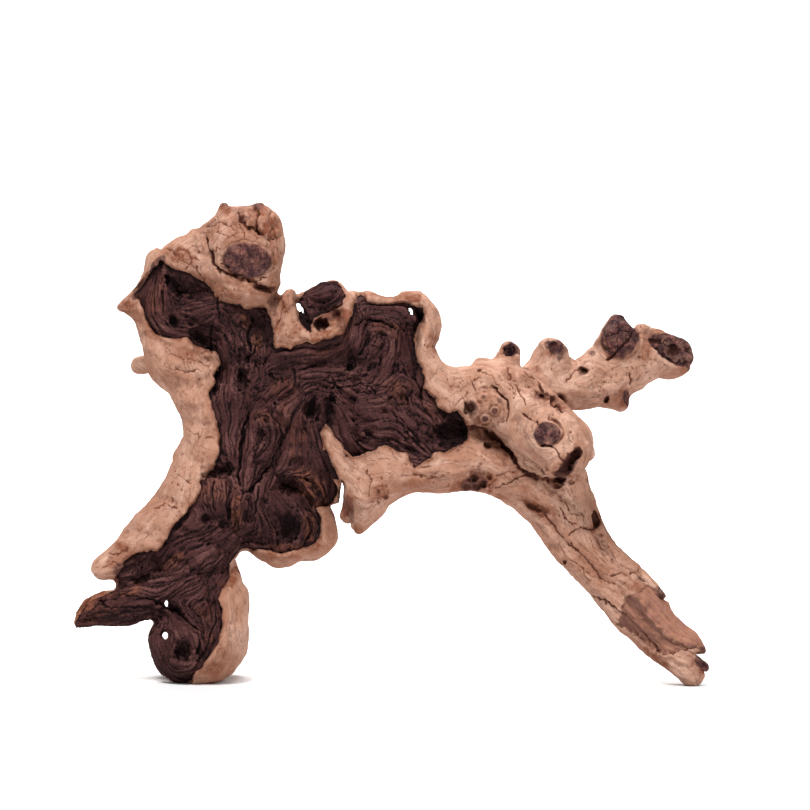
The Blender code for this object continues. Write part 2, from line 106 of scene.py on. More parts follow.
# Each run is a list of swellings (x, z, radius, y, half depth) in mm: x and z as seen from the
# front, with z = 0 on the floor, and y away from the viewer.
RUNS = {
    "crown top": [(-75, 190, 28, 4, 24), (-48, 191, 29, 6, 24), (-20, 191, 30, 8, 24),
        (-3, 193, 28, 8, 22), (6, 199, 22, 6, 18), (14, 207, 15, 4, 13)],
    "crown middle": [(-72, 160, 34, 4, 24), (-35, 160, 36, 8, 24), (0, 160, 33, 6, 22),
        (24, 150, 24, 2, 18)],
    "crown bottom": [(-50, 128, 30, 6, 22), (-15, 142, 28, 4, 20), (8, 140, 30, 0, 20),
        (30, 136, 26, -2, 19)],
    "crown corner": [(8, 178, 20, 2, 16), (16, 166, 20, 2, 16)],
    "right rim": [(18, 212, 9, -4, 8), (22, 202, 7, -8, 7), (20, 192, 6, -9, 7), (21, 182, 7, -9, 7),
        (26, 172, 9, -9, 8), (33, 163, 11, -8, 9)],
    "dark knob": [(-34, 218, 10, -6, 10), (-44, 214, 8, -2, 8)],
    "knob cup": [(-44, 199, 6, -12, 6), (-34, 198, 6, -14, 6), (-26, 204, 6, -12, 6), (-24, 213, 6, -9, 6)],
    "rear burl left": [(-75, 178, 26, 22, 20), (-45, 170, 26, 28, 18)],
    "rear burl right": [(-15, 172, 26, 28, 18), (20, 160, 22, 20, 17), (48, 156, 18, 10, 16)],
    "rear burl low": [(-88, 130, 22, 20, 18), (-70, 105, 20, 18, 17)],
    "head": [(-82, 246, 23, -6, 22), (-80, 230, 19, -6, 20)],
    "brow": [(-98, 247, 16, -2, 18), (-104, 239, 17, 0, 18), (-120, 232, 18, 2, 17),
        (-127, 215, 18, 4, 17), (-122, 197, 19, 4, 18), (-118, 184, 20, 4, 19), (-112, 176, 17, 4, 18),
        (-108, 164, 13, 3, 17)],
    "neck": [(-95, 208, 28, 4, 20), (-85, 200, 28, 4, 22)],
    "crest left": [(-93, 263.4, 4.6, -2, 6), (-93.4, 268, 3, -2, 4)],
    "crest right": [(-74, 263, 6, -4, 6), (-73, 267.4, 3.6, -4, 4)],
    "crest side": [(-68, 259, 8, -4, 9)],
    "cheek tip": [(-136, 214, 11, 2, 10), (-144, 213, 6.5, 0, 6), (-151.5, 212, 2, -1, 2)],
    "cheek corner": [(-129.5, 239.5, 8, 4, 8)],
    "rear stub": [(-130, 180, 6, 20, 7), (-141, 180, 5.4, 26, 5.4)],
    "neck rim": [(-55.5, 219.5, 3.5, -10, 5), (-58, 208, 6, -12, 7), (-60, 197, 8, -12, 8)],
    "leg": [(-82, 140, 29, 3, 22), (-87, 122, 29, 2, 22), (-93, 108, 32, 2, 22), (-104, 92, 27, 0, 22),
        (-112, 76, 24, -2, 21), (-109, 62, 20, -2, 20), (-106, 50, 21, -2, 20)],
    "leg band": [(-106, 160, 14, 2, 18), (-100, 148, 16, 2, 18), (-99, 137, 14, 2, 18),
        (-105, 121, 18, 2, 18), (-110, 108, 18, 0, 18), (-118, 96, 17, -2, 18), (-129, 85, 16, -4, 17),
        (-138, 79, 14, -6, 15), (-146, 73, 11, -8, 12), (-155, 68, 9.5, -10, 9),
        (-161.5, 64.5, 7.5, -11, 8)],
    "foot front": [(-103, 44, 24.5, -4, 19), (-107, 26, 27.5, -6, 19)],
    "foot rear": [(-102, 64, 16, 14, 16), (-102, 44, 23, 20, 20), (-106, 25.5, 26.5, 25, 22)],
    "heel": [(-131, 25, 5, -8, 6), (-114, 18, 19, -6, 17)],
    "lobe left": [(-75, 100, 24, 2, 20), (-61, 84, 18, 6, 18)],
    "lobe right": [(-56, 100, 20, 4, 20), (-44, 92, 15, 6, 16), (-44, 86, 16, 8, 17)],
    "lobe upper": [(-46, 118, 14, 2, 14), (-38, 112, 12, 2, 12)],
    "lobe flap": [(-33, 108, 5, 3, 6), (-29.5, 105, 3.5, 6, 4)],
    "spike crotch": [(-139, 62, 9, -8, 9), (-149, 59, 6, -9, 7)],
    "spike": [(-118, 57, 15, -5, 15), (-135, 49, 13, -10, 12), (-148, 44, 11.5, -13, 11),
        (-158, 43, 10, -16, 10), (-167, 41, 8, -18, 8), (-172, 37, 6, -20, 6), (-174.6, 34.6, 4, -21, 4)],
    "spur": [(-34, 141, 4.5, -18, 5), (-31, 130, 7, -19, 7), (-24, 119, 10, -18, 10),
        (-14, 111, 13, -15, 13), (-12, 102, 11, -12, 11), (-15, 94, 7, -10, 8), (-17, 88.5, 4.5, -9, 5)],
    "spur root": [(-14, 112, 12, -15, 12), (-1, 117, 15, -13, 13), (10, 121, 13, -10, 12)],
    "spur facet": [(-23, 108, 3.5, -4, 6), (-24, 95, 4.5, 0, 6)],
    "lower limb": [(10, 121, 13, -9, 12), (22, 121, 13, -9, 13), (35, 122.5, 14, -9, 14),
        (48, 125, 16, -8, 15), (60, 123, 17, -6, 16), (72, 119, 18, -3, 17), (84, 112, 19, 0, 18)],
    "knuckle": [(30, 165, 14, -4, 13), (38, 160, 18, -6, 16), (50, 160, 19, -8, 17), (60, 163, 19, -9, 17),
        (70, 158, 20, -13, 18), (82, 149, 19, -20, 18), (92, 140, 18, -26, 18), (98, 131, 16, -29, 17)],
    "knuckle lip": [(101, 137, 13, -20, 13), (111, 131, 5, -20, 6)],
    "knuckle root": [(70, 150, 18, 2, 16), (88, 132, 18, -6, 16), (95, 115, 17, -4, 16)],
    "horn": [(66, 178, 7, -4, 7), (67.5, 187, 5.8, -3, 6)],
    "knuckle bump": [(52, 180, 4, -6, 4)],
    "muzzle": [(56, 156, 9.5, -22, 7)],
    "long root": [(84, 112, 19, 0, 18), (94, 103, 20.5, 0, 19), (103.6, 87, 18, -2, 18),
        (112.7, 72.6, 16.5, -5, 16.5), (124.6, 59.6, 15, -8, 15), (137.3, 46.2, 16, -11, 15),
        (150.8, 30, 14, -14, 13), (161.5, 20, 13, -16, 12), (169.6, 9.4, 9.4, -18, 9.5),
        (171, 4.6, 7, -18, 8)],
    "splinter high": [(169, 22.4, 5, -16, 6), (176.4, 18.6, 2, -17, 3)],
    "splinter low": [(173, 11, 5, -18, 6), (177.2, 7.8, 1.9, -19, 2.6)],
    "chip": [(149, 49, 5, -11, 6), (155, 47, 2.6, -11, 3)],
    "branch": [(72, 160, 16, 6, 16), (88, 166, 16, 14, 15), (99, 168, 15, 20, 15),
        (108, 168, 13.5, 26, 14), (120, 172, 16.5, 31, 15), (134, 178, 15, 36, 14), (141, 184, 15, 39, 13),
        (150, 186, 13.5, 42, 12.5), (160.5, 184, 12, 44, 11)],
    "branch stub": [(90, 176, 13, 15, 12), (91.5, 185, 10, 14, 9), (93, 190, 5, 13, 6)],
    "branch knob": [(124, 178, 14, 30, 13), (129, 190, 13, 28, 12), (128.5, 195, 13, 27, 11)],
    "branch crest": [(143, 197.5, 5, 40, 5)],
    "branch heel": [(127, 164, 8, 32, 8), (131, 158, 4.5, 31, 5)],
}

# Where the sapwood has broken away from the heartwood, as outlines seen from the front: the
# x and the z of each point in turn.
HEART_WINDOWS = [
    # The plate, the hollow of the neck, the leg, the foot and the spike.
    (-129.5, 239.5, -122.6, 235, -116.5, 232.5, -109, 230.5, -104.2, 227, -99.9, 224, -96.9, 217.8, -90.7,
     215.4, -84, 214.8, -81.6, 212.3, -74.2, 213.5, -69.3, 211, -66.2, 206, -65.4, 201, -66, 191.6, -63.6,
     189.7, -60.5, 191, -58.5, 190.4, -55.7, 189.7, -53.3, 192, -48.6, 193.7, -39.7, 193.8, -32.7, 195.3,
     -27.5, 198, -24, 202, -21.6, 208, -21.5, 212.5, -19.5, 218, -19, 228, -13.5, 228, -13.2, 219, -11.5,
     216.2, -7.4, 215.6, 0.5, 214.3, 8.5, 216.5, 11.5, 214.6, 15, 213, 19.5, 212.6, 20.6, 209, 17.3, 202,
     14.6, 196.3, 15.4, 190, 15.2, 185, 16.6, 181, 19.3, 178, 20.4, 172, 21.6, 167, 26.3, 161.4, 28.1, 157,
     33.6, 152.8, 38.5, 154, 41.5, 150, 43.5, 145, 45, 138, 38, 133, 32, 130, 27, 129, 25, 126, 20, 123.5,
     14, 121, 11, 125, 9, 128.5, 4, 131, 0, 132.5, -3.1, 134, -7.4, 131.3, -12.3, 130.7, -14, 129, -20.9,
     126.4, -25.2, 127, -27, 134.4, -31.9, 141.1, -35.6, 146, -38.5, 141, -36.4, 134, -32.8, 126.4, -30,
     119, -27.5, 112, -29, 110.5, -30, 105, -32.3, 100.6, -34, 99.9, -37.5, 99.4, -41.5, 99, -38.3, 93.6,
     -38, 87.8, -39.2, 82, -42, 77.8, -46.1, 76.6, -50.1, 75.6, -54.8, 73.4, -60.5, 72.4, -68.6, 74, -74,
     75.5, -79, 73.5, -83.5, 68, -86.6, 65, -90, 58.2, -93.3, 53.4, -96, 47.9, -94.6, 42.5, -93.9, 32.9,
     -96, 22.6, -100.8, 14.4, -107.6, 6.2, -111, 2.1, -113, -8, -145, -8, -145, 24, -166, 22, -190, 26,
     -186, 34, -177, 39.5, -172, 45.5, -167, 49.4, -161.7, 51.5, -157, 55.5, -154.2, 60.3, -150.8, 65,
     -149.4, 68.6, -146, 73, -141.9, 74.3, -135.7, 76, -129.5, 76.7, -125.5, 83, -120, 91, -114, 97,
     -110.7, 102.3, -108.4, 107, -106.6, 112.6, -103.2, 116.7, -98.6, 123, -96.8, 128.8, -95.4, 134, -95.7,
     141, -98, 145.5, -99.7, 154, -102, 160.5, -99, 171, -97.6, 176, -95.6, 180, -96.5, 184, -98.1, 186.6,
     -103, 188.4, -110.3, 190.3, -114, 195.2, -117.7, 193.9, -126.3, 193.9, -132.4, 196.4, -135.5, 201.3,
     -138.5, 207.4, -141, 215.4, -145.9, 219.1, -141.6, 225.8, -137.9, 229, -131.8, 235),
    # The dark knob on the crown, and the gutter that runs from it past the socket.
    (-55, 223, -52.6, 218.5, -51.8, 211, -51.6, 206, -48.6, 200.6, -45.2, 196.6, -42.6, 198, -43.6, 202,
     -42, 206, -38.5, 208.2, -33.5, 208.6, -30, 211, -26, 213.5, -23.6, 218, -24, 232, -52, 232),
    # The stub of a limb that was lost from the knuckle.
    (61, 190, 62.5, 186.5, 65.5, 184, 70, 183.6, 74, 186, 75, 192, 68, 197),
]

# Where the sapwood is open on the back, with x and z still as seen from the front.
REAR_WINDOWS = [
    (-58, 206, -40, 213, -18, 211, 2, 203, 12, 188, 26, 178, 42, 172, 50, 160, 40, 149, 22, 146, 8, 138,
     -8, 139, -20, 128, -34, 133, -47, 146, -52, 160, -66, 170, -72, 184, -68, 197), (-118, 118, -108, 124,
     -98, 116, -92, 104, -84, 94, -84, 80, -92, 70, -96, 56, -104, 46, -112, 52, -114, 66, -124, 76, -128,
     88, -122, 100), (86, 122, 94, 116, 100, 102, 110, 88, 120, 74, 128, 66, 124, 58, 114, 64, 104, 76, 95,
     90, 88, 104, 82, 114), (-112, 236, -100, 240, -94, 232, -98, 220, -108, 214, -116, 222),
]

# The flake that came off the long root, which shows mauve-brown inner wood.
FLAKE = (153, 52, 149, 54.5, 145, 55, 140, 51.5, 134, 49, 131.5, 44, 131, 40, 129, 33, 135, 29.5, 142, 25,
    149, 18.5, 155, 15.5, 163, 17.5, 172, 19, 184, 21, 184, 30, 166, 42)

# Hollows in the front: (x, z, half width, half height, lean in degrees, depth, edge). An edge of
# 0 is a soft bowl and 1 a sharp-rimmed hole.
FRONT_PITS = [
    # the hollow of the neck
    (-120.5, 223.5, 3.2, 6.2, 36, 6, 0.4), (-122, 204, 2.2, 3.6, 10, 4.5, 0.6),
    (-110, 222, 10, 7, -20, 1.6, 0), (-94.4, 206.2, 3.4, 3.4, 0, 2.2, 0.3), (-104, 193, 9, 5, -15, 2.4, 0),
    (-74, 202, 8, 9, 0, 3.6, 0), (-70, 196, 4, 8, -10, 3, 0.2), (-87, 199, 5, 6, 20, 2, 0),
    (-101, 188, 4, 2, -10, 1.8, 0.3),
    # the plate
    (-82, 171, 4, 7, 8, 5, 0.3), (-83, 183, 7, 5, 0, 3, 0), (-60, 176, 9, 3, 20, 1.8, 0),
    (-43.5, 154, 4.5, 5.5, 20, 4.2, 0.3), (-33.6, 154, 3.6, 8.5, -4, 5, 0.4),
    (-50, 163, 5, 3, -40, 1.6, 0.2), (-24, 184, 5, 7, 20, 1.8, 0), (-19.7, 159.5, 2.2, 2, 0, 2.2, 0.5),
    (-32.5, 172.4, 2, 2, 0, 1.6, 0.5), (-18.4, 165, 2.2, 2.2, 0, 1.6, 0.5),
    (7.9, 161.4, 2.4, 2.4, 0, 2.4, 0.5), (-2.5, 153.4, 2.2, 1.8, 0, 2.2, 0.5),
    (-11.5, 141, 3.4, 2.2, -20, 2.6, 0.4), (-16, 181, 2.4, 2.6, 0, 2, 0.4), (-5, 196, 4, 3, 20, 1.6, 0.2),
    (-9, 178, 3, 2, 30, 1.8, 0.3), (1, 160, 3, 3, 0, 1.8, 0.3), (17.6, 207, 2.4, 5.5, 12, 6, 0.5),
    (14, 176, 3, 7, -10, 1.8, 0), (16, 196, 2, 8, 0, 2.2, 0.2), (34.5, 141, 7.5, 7.5, 20, 8.5, 0.2),
    (25, 139, 7, 4, 30, 2.5, 0), (29, 152, 4, 3, 40, 2.5, 0.2),
    # the socket below the knob, and its gutter
    (-38.2, 202.2, 4, 3.7, 10, 7, 0.6), (-47.2, 204.6, 2.2, 7, 26, 4.5, 0.5),
    (-28.6, 208.4, 3.6, 5, 24, 2.4, 0.1), (-31, 210.5, 1.2, 1, 0, 1.4, 0.8),
    # the leg
    (-72.6, 139.5, 3.4, 4.4, 0, 3.6, 0.3), (-69.5, 148, 1.6, 4, -10, 2, 0.4),
    (-93.4, 119, 6, 3, 10, 3.4, 0.2), (-101, 118, 5, 2.4, 15, 2.6, 0.2),
    (-57.5, 111.5, 7.5, 4.6, -32, 5.5, 0.3), (-52, 124, 5, 3.4, 0, 2.2, 0.1),
    (-57, 88.5, 7.6, 8.4, 0, 5.2, 0.2), (-62, 80, 6, 4, 0, 2, 0.1), (-80.1, 93, 3.2, 4, 20, 2.4, 0.3),
    (-70.6, 102.3, 2.4, 3, 0, 2.4, 0.4), (-92.3, 89.2, 4.5, 2, -25, 1.8, 0.5),
    (-104, 93, 3, 2, 0, 2.4, 0.3), (-46.5, 115.3, 0.9, 2, 35, 1.8, 0.7),
    (-90.3, 102, 0.9, 13, 0, 1.6, 0.4),
    # the foot and the spike
    (-116.5, 17, 5, 6, 0, 5.5, 0.4), (-118.6, 39.4, 2.6, 7.2, 54, 4.6, 0.4),
    (-104.5, 39, 2.4, 2.2, 0, 1.8, 0.3), (-139, 60, 5, 6, 40, 2.6, 0.1), (-132, 67, 3, 5, 30, 2.2, 0.3),
    (-141, 68, 2.4, 2.4, 0, 2, 0.4), (-126.3, 26.7, 3.2, 3.4, 0, 2, 0.4), (-168, 37, 5, 2.4, 35, 1.4, 0.1),
    # the head
    (-75, 250.4, 1.2, 1, 0, 2, 0.8), (-72, 223.4, 5.6, 1.9, -14, 4.6, 0.7),
    (-66.6, 222.2, 3, 1.5, 8, 4, 0.7), (-103, 258, 6, 5, 30, 1.2, 0),
    # the spur and the lower limb
    (-28.5, 109, 0.9, 1.2, 0, 1.4, 0.8), (-6, 108, 1.1, 1, 0, 1.4, 0.8), (-2, 105, 0.9, 1.2, 0, 1.4, 0.8),
    (-31.3, 139, 0.7, 0.7, 0, 1.2, 0.8), (20, 121.6, 3.4, 0.9, 14, 1.8, 0.6),
    (26, 118.6, 3, 0.8, 24, 1.6, 0.6), (44.6, 110.4, 2.6, 2.2, 20, 3.2, 0.7),
    (48.2, 115.6, 1.9, 2.3, 0, 2.8, 0.7), (49.4, 110.4, 1.5, 1.8, 0, 2.4, 0.7),
    (45.4, 114.6, 1.1, 1.4, 30, 2, 0.7), (56.6, 116.4, 1.5, 1.7, 0, 2, 0.7),
    (53.2, 112.6, 2, 2.2, 0, 2.8, 0.7),
    # the knuckle
    (54.2, 149.2, 1.5, 1.4, 0, 1.8, 0.9), (59.8, 153.4, 1.4, 1.6, 0, 1.8, 0.9),
    (53, 161.6, 1.6, 1, 20, 1.4, 0.8), (45.9, 155.2, 2.9, 4.6, 8, 5.5, 0.6),
    (55.2, 134, 2.5, 2.9, 0, 4.5, 0.7), (51, 176.4, 1.2, 1.2, 0, 2, 0.8),
    (86.4, 161.4, 3.4, 1.9, -32, 3.2, 0.5), (83, 163.4, 1.6, 1.4, 0, 2, 0.7),
    (96.2, 160, 3.3, 3.5, 0, 4.2, 0.6), (101, 123.8, 3.8, 10.4, -38, 5.5, 0.6),
    (103.8, 127, 3.4, 5, -24, 4, 0.7), (69, 187.5, 2.8, 4, 0, 2.6, 0.4), (78, 170, 5, 4, 0, 1.2, 0),
    # the long root
    (81.4, 99.8, 6.4, 1.5, -27, 2.8, 0.4), (116.2, 93, 2.5, 4.6, 14, 5, 0.6),
    (94.6, 111.4, 1.6, 1.2, 0, 1.6, 0.8), (128, 60.6, 2.8, 0.8, 12, 1.6, 0.7),
    (143, 58, 2.8, 0.8, -35, 1.6, 0.7), (100, 68.5, 1.5, 1.3, 0, 1.2, 0.5), (120, 78, 4, 7, 35, 1, 0),
    # the branch
    (93, 190, 3, 2.6, 0, 2.6, 0.5), (109.8, 175.4, 3.6, 2.9, 30, 3.6, 0.75),
    (123, 160.8, 1.2, 2.6, -20, 3, 0.7), (134, 160, 2.4, 4.2, 10, 2, 0.4),
    (160.6, 187.4, 2.8, 3.2, 10, 4, 0.5), (166.4, 182, 1.6, 2, 0, 1.6, 0.5),
    (151, 193.4, 3.6, 1.2, -12, 1.8, 0.5), (118, 190, 3, 5, 30, 1.4, 0.1),
]

# Hollows in the back, as seen through the root from the front.
REAR_PITS = [
    (-95, 215, 9, 9, 0, 3.5, 0), (-40, 190, 10, 11, 20, 5, 0.2), (-5, 150, 8, 9, 0, 4.5, 0.2),
    (-75, 140, 8, 8, 0, 3, 0), (-100, 70, 8, 8, 0, 4, 0.2), (60, 140, 9, 9, 0, 4, 0),
    (105, 80, 6, 6, 0, 3, 0.2), (125, 185, 6, 7, 0, 3.5, 0.3), (-20, 180, 3, 5, 30, 3, 0.4),
    (20, 165, 4, 3, 0, 3, 0.4), (-88, 232, 2, 2, 0, 3, 0.7), (-130, 226, 1.6, 1.6, 0, 3, 0.7),
    (-60, 110, 2.4, 3, 0, 3.5, 0.6), (80, 160, 2, 2, 0, 3, 0.7), (150, 180, 3, 2.4, 20, 3, 0.5),
    (-112, 30, 5, 4, 20, 3, 0.3), (140, 40, 1.4, 2.6, 30, 2.4, 0.6),
]

# Round scars of lost branches: (x, z, half width, half height, lean, boss, groove, ring). The
# ring says how far out, as a share, an inner edge lies.
SCARS = [
    (-80.2, 239, 14.2, 10.6, -6, -0.4, 1.5, 0), (90, 141.5, 8.4, 7.4, 10, 2, 1.8, 0.5),
    (130, 194.5, 10.2, 11, 0, 0.4, 1.2, 0), (54.2, 149.4, 3.3, 3.1, 0, 1.2, 1.8, 0.55),
    (59.8, 153.6, 2.9, 3.2, 0, 1.1, 1.8, 0.55), (59.2, 158.8, 2.4, 2.4, 0, 0.8, 1.1, 0),
    (52.8, 161.4, 3.7, 2.8, 20, 0.9, 1.2, 0.5), (50.4, 155.4, 2, 2.7, 0, 0.7, 1.1, 0),
    (-82.2, 206.2, 2.4, 2.4, 0, 1.4, 0.9, 0), (-106.3, 41.8, 6.2, 4.6, 0, 0.4, 0.8, 0.5),
    (-85, 106, 2.6, 3, 0, 0.8, 0.8, 0), (-76, 163.5, 2.6, 3.2, 0, 0.9, 0.8, 0),
]

# Small holes right through: (x, z, half width, half height, lean in degrees).
THROUGH_HOLES = [
    (-49.8, 211, 1.9, 4, 34), (12.3, 209.8, 1.6, 2.9, 30), (-125.5, 45.2, 1.9, 3, 12),
    (-126.2, 26.7, 2.5, 3, 12),
]

# The narrow cleft between the hanging lobes and the spur.
CLEFT = (-27, 114, -25.2, 110, -25, 103, -28, 94, -25, 90, -19.5, 86.5, -19.5, 78, -27, 78, -29.5, 90,
    -33.5, 100, -28.5, 102, -28, 108)

# The notches between the splinters of the long root.
NOTCHES = [
    (186, 18.4, 180, 16.8, 174, 17.4, 167, 18.6, 172.4, 15.8, 176.4, 13, 180.6, 8.6, 186, 7.6),
    (186, 7.4, 181, 6.8, 175.6, 7.8, 178.6, 4.2, 186, 2.6),
    (108, 214, 108, 190, 114.6, 189.8, 118, 194.4, 121, 200.6, 125.6, 206.8, 127, 214),
    (131.4, 214, 132.6, 205.8, 138.4, 199.8, 139.6, 202, 140, 214),
    (160, 49.5, 153.5, 48.4, 149.5, 50.6, 153.8, 46.8, 160, 44),
    (-12, 226, -11, 220.4, -6, 217.8, 0, 217.4, 4, 218.2, 6.4, 220.8, 8, 223, 8, 226),
    (18, 226, 18.6, 220.4, 22, 216.8, 25.6, 212.4, 28.4, 208.6, 34, 207, 34, 226),
    (34, 197.6, 29.4, 195.4, 26.2, 192.6, 25.4, 189.6, 27.4, 186.4, 34, 183), (-144, 258, -144, 243.4,
     -138, 241.6, -134.4, 244.8, -131.4, 246.2, -128.6, 244.8, -126.6, 247.4, -122, 250.4, -118, 258),
    (-110, 262, -112, 256.6, -108, 256.4, -103, 260.6, -99.6, 265.4, -99.6, 274, -110, 274),
]

# Cracks and open checks in the front: (half width, depth, x and z of each point).
CRACKS = [
    # the head: the lip beside the scar, and the splits in its crest
    (0.55, 2, -102, 251, -99.9, 242.3, -98.7, 236.8, -95, 232.5, -87.1, 230.1, -79.7, 227.2, -75, 226),
    (0.4, 1, -99.9, 244, -95, 245.4), (0.45, 1.6, -86, 266, -84.5, 262, -80, 258, -75, 255.5),
    (0.4, 1.2, -82, 252, -81, 255.5, -84, 259), (0.4, 1.2, -109, 235, -107.5, 231, -104, 227.5),
    (0.4, 1, -114, 244, -112, 238, -115, 233.5),
    (0.5, 1.4, -61.3, 221.5, -60.1, 213.5, -61.9, 207.4, -65, 202.5),
    (0.4, 1, -66, 257, -63, 250, -63.5, 243), (0.5, 1.8, -73.4, 266.6, -75.2, 260, -74, 252.4),
    (0.35, 0.9, -127, 246, -121, 243.6, -118.6, 239.6, -119.4, 236),
    (0.35, 0.9, -121, 243.6, -115.6, 244.6, -110, 248),
    (0.35, 0.9, -115.6, 244.6, -112.6, 240.4, -107.6, 239),
    (0.35, 0.8, -118.6, 239.6, -113.4, 237, -109, 233.6),
    (0.3, 0.8, -103, 258, -97, 260, -90, 258.6, -85.6, 254.6),
    (0.3, 0.8, -104, 254, -97, 254.6, -90.4, 252.4, -85, 251.6),
    (0.3, 0.8, -98, 265, -95.6, 259.4, -96.6, 254),
    (0.3, 0.8, -69.6, 262, -66.4, 256, -69, 250.4, -65, 246),
    (0.3, 0.9, -83.2, 247.4, -84.6, 242, -83.6, 236, -80.6, 230.6),
    (0.3, 0.8, -91, 243, -85, 240.4, -78, 241, -70.6, 239),
    (0.4, 1.2, -94.6, 238, -90, 232, -83, 228.4, -75, 227.8, -68.6, 230),
    (0.35, 0.9, -123, 186, -116, 183.4, -108, 182.6, -102, 179),
    (0.35, 0.9, -121, 177, -113, 175.6, -106, 176.8), (0.3, 0.8, -114, 143, -107, 139.4, -99, 138.6),
    (0.3, 0.8, -124, 118, -117, 116.8, -111, 112), (0.35, 1, -133, 98, -127, 101.4, -120, 99),
    (0.4, 1.2, -158, 74, -153, 72, -148, 75.4), (0.35, 1, -162, 66, -156, 68.4, -151, 66),
    # the hollow of the neck
    (0.5, 1.4, -96.9, 218, -96.7, 213, -96, 207), (0.5, 1.6, -101.2, 201, -101, 194, -101.2, 187),
    (0.5, 1.6, -75, 192.5, -76, 186, -80, 183), (0.55, 1.8, -77.5, 205, -79.5, 196, -79, 188),
    # the plate
    (0.5, 1.4, -36.2, 171.2, -30, 167, -23.3, 167, -16, 169.3, -11.1, 166.9, -7.4, 163.2),
    (0.5, 1.3, -20, 202, -13, 205.5, -7.4, 204.6, -2.5, 203, 3.6, 200.4), (0.5, 1.4, -23, 172, -12, 174),
    (0.5, 1.2, 2, 153, 8, 146.5, 14, 141, 18, 135), (0.5, 1.2, 9, 143, 15, 137, 20, 131),
    (0.5, 1.4, -55, 178, -52, 170, -57, 163),
    # the leg
    (0.55, 1.8, -66, 152, -61.5, 146, -60, 139, -63.5, 131, -68, 122, -74.5, 113, -82, 106.5),
    (0.5, 1.6, -79.5, 150, -82.6, 142, -84, 131, -84.6, 120, -85, 111),
    (0.5, 1.4, -99, 114, -99.6, 106, -98.6, 97), (0.5, 1.4, -92.4, 113, -91, 104, -90.4, 92),
    (0.5, 1.5, -74.5, 110, -76, 103, -75.6, 96), (0.5, 1.2, -48.5, 97, -45, 91, -45, 84, -48, 78),
    (0.5, 1.2, -44, 98, -40.6, 92, -40.4, 85, -43.5, 79), (0.5, 1.4, -36.5, 111, -34.5, 105, -37, 101),
    # the foot and the spike
    (0.5, 1.5, -98, 46, -98.4, 36, -100.4, 27, -104.6, 18, -109, 12),
    (0.5, 1.4, -164, 46, -158, 42.5, -150, 43, -140, 42.6, -132, 41),
    (0.5, 1.4, -152, 50, -142, 49, -133, 46.6, -127, 44), (0.4, 1, -112, 33, -106, 28, -103.6, 22),
    # the lower limb and the knuckle
    (0.45, 1.4, 98, 126, 93, 133, 86, 134.6), (0.45, 1.5, 84, 146, 80.5, 148.6, 77, 151.5),
    (0.45, 1.7, 57.6, 167.6, 62.4, 164.4, 66, 159, 67, 153.6, 65.6, 148.6),
    (0.4, 1, 48, 165, 47, 169, 50, 173),
    (0.5, 1.8, 76, 178.5, 80, 173, 85, 168, 89.5, 162, 93, 157, 98, 154), (0.9, 1.6, 41, 141, 45, 144,
     50.4, 144.6, 57.2, 141, 61.6, 137.4, 66, 132.8, 70, 127.4, 73.6, 121, 81.6, 116.8, 91, 114.6),
    (0.35, 1, 52, 176, 58, 173.6, 62, 168), (0.35, 1, 71, 168, 76, 163.4, 78, 157),
    (0.3, 0.9, 44, 164, 40, 160, 36, 152), (0.35, 1, 56, 110, 60.4, 116, 66, 119.4, 73, 119),
    (0.3, 0.9, 14, 118, 22, 115.6, 31, 117.4), (0.3, 0.9, -14, 120, -9, 114, -11, 105),
    (0.45, 1.2, 66, 177.5, 68.5, 174, 68, 171), (0.45, 1.4, 60, 109.5, 66, 112, 72, 115, 78, 118.5),
    # the long root
    (0.35, 1.2, 87, 96, 91, 90.5, 95, 85, 101, 79.5, 106, 75),
    (0.35, 1.2, 103, 79, 109, 73, 116, 64.4, 120, 59.5, 126, 55), (0.35, 1, 80, 99, 86, 99.6, 91, 95),
    (0.35, 1, 95, 78, 101, 70, 107, 66.4, 112, 58), (0.35, 1, 126, 60, 130, 62.4, 134, 60.6, 139, 63),
    (0.35, 0.9, 108, 96, 111, 89, 119, 80, 123, 73), (0.35, 0.9, 98, 104, 101, 97, 107, 94),
    (0.45, 1.4, 102, 83, 105, 86.5, 109, 88, 115, 87),
    (0.5, 1.6, 113, 50, 119, 46.6, 125, 44, 133, 38, 143, 28, 152, 17.5),
    (0.4, 1.2, 153, 16, 159, 17.4, 165, 18, 174, 20), (0.4, 1, 96, 99, 99, 93, 104, 90),
    # the branch
    (0.5, 1.8, 138, 196.4, 133.6, 192, 129.6, 188.6, 127, 184.6, 122, 182.4),
    (0.35, 1, 129, 205, 130.6, 199.6, 128, 194, 129.6, 189),
    (0.35, 1, 122.6, 196, 127.4, 197, 133, 199.6, 136, 199),
    (0.4, 1.3, 147, 193.6, 153, 192, 158.6, 193.2), (0.4, 1.3, 150, 190, 155, 185, 162, 181.4, 169, 180.4),
    (0.35, 1, 153, 193, 158, 190, 164, 190.4, 169, 188), (0.45, 1.2, 136, 175, 138, 171, 136.6, 168),
    (0.35, 1, 101, 170, 104, 175, 108, 178),
]

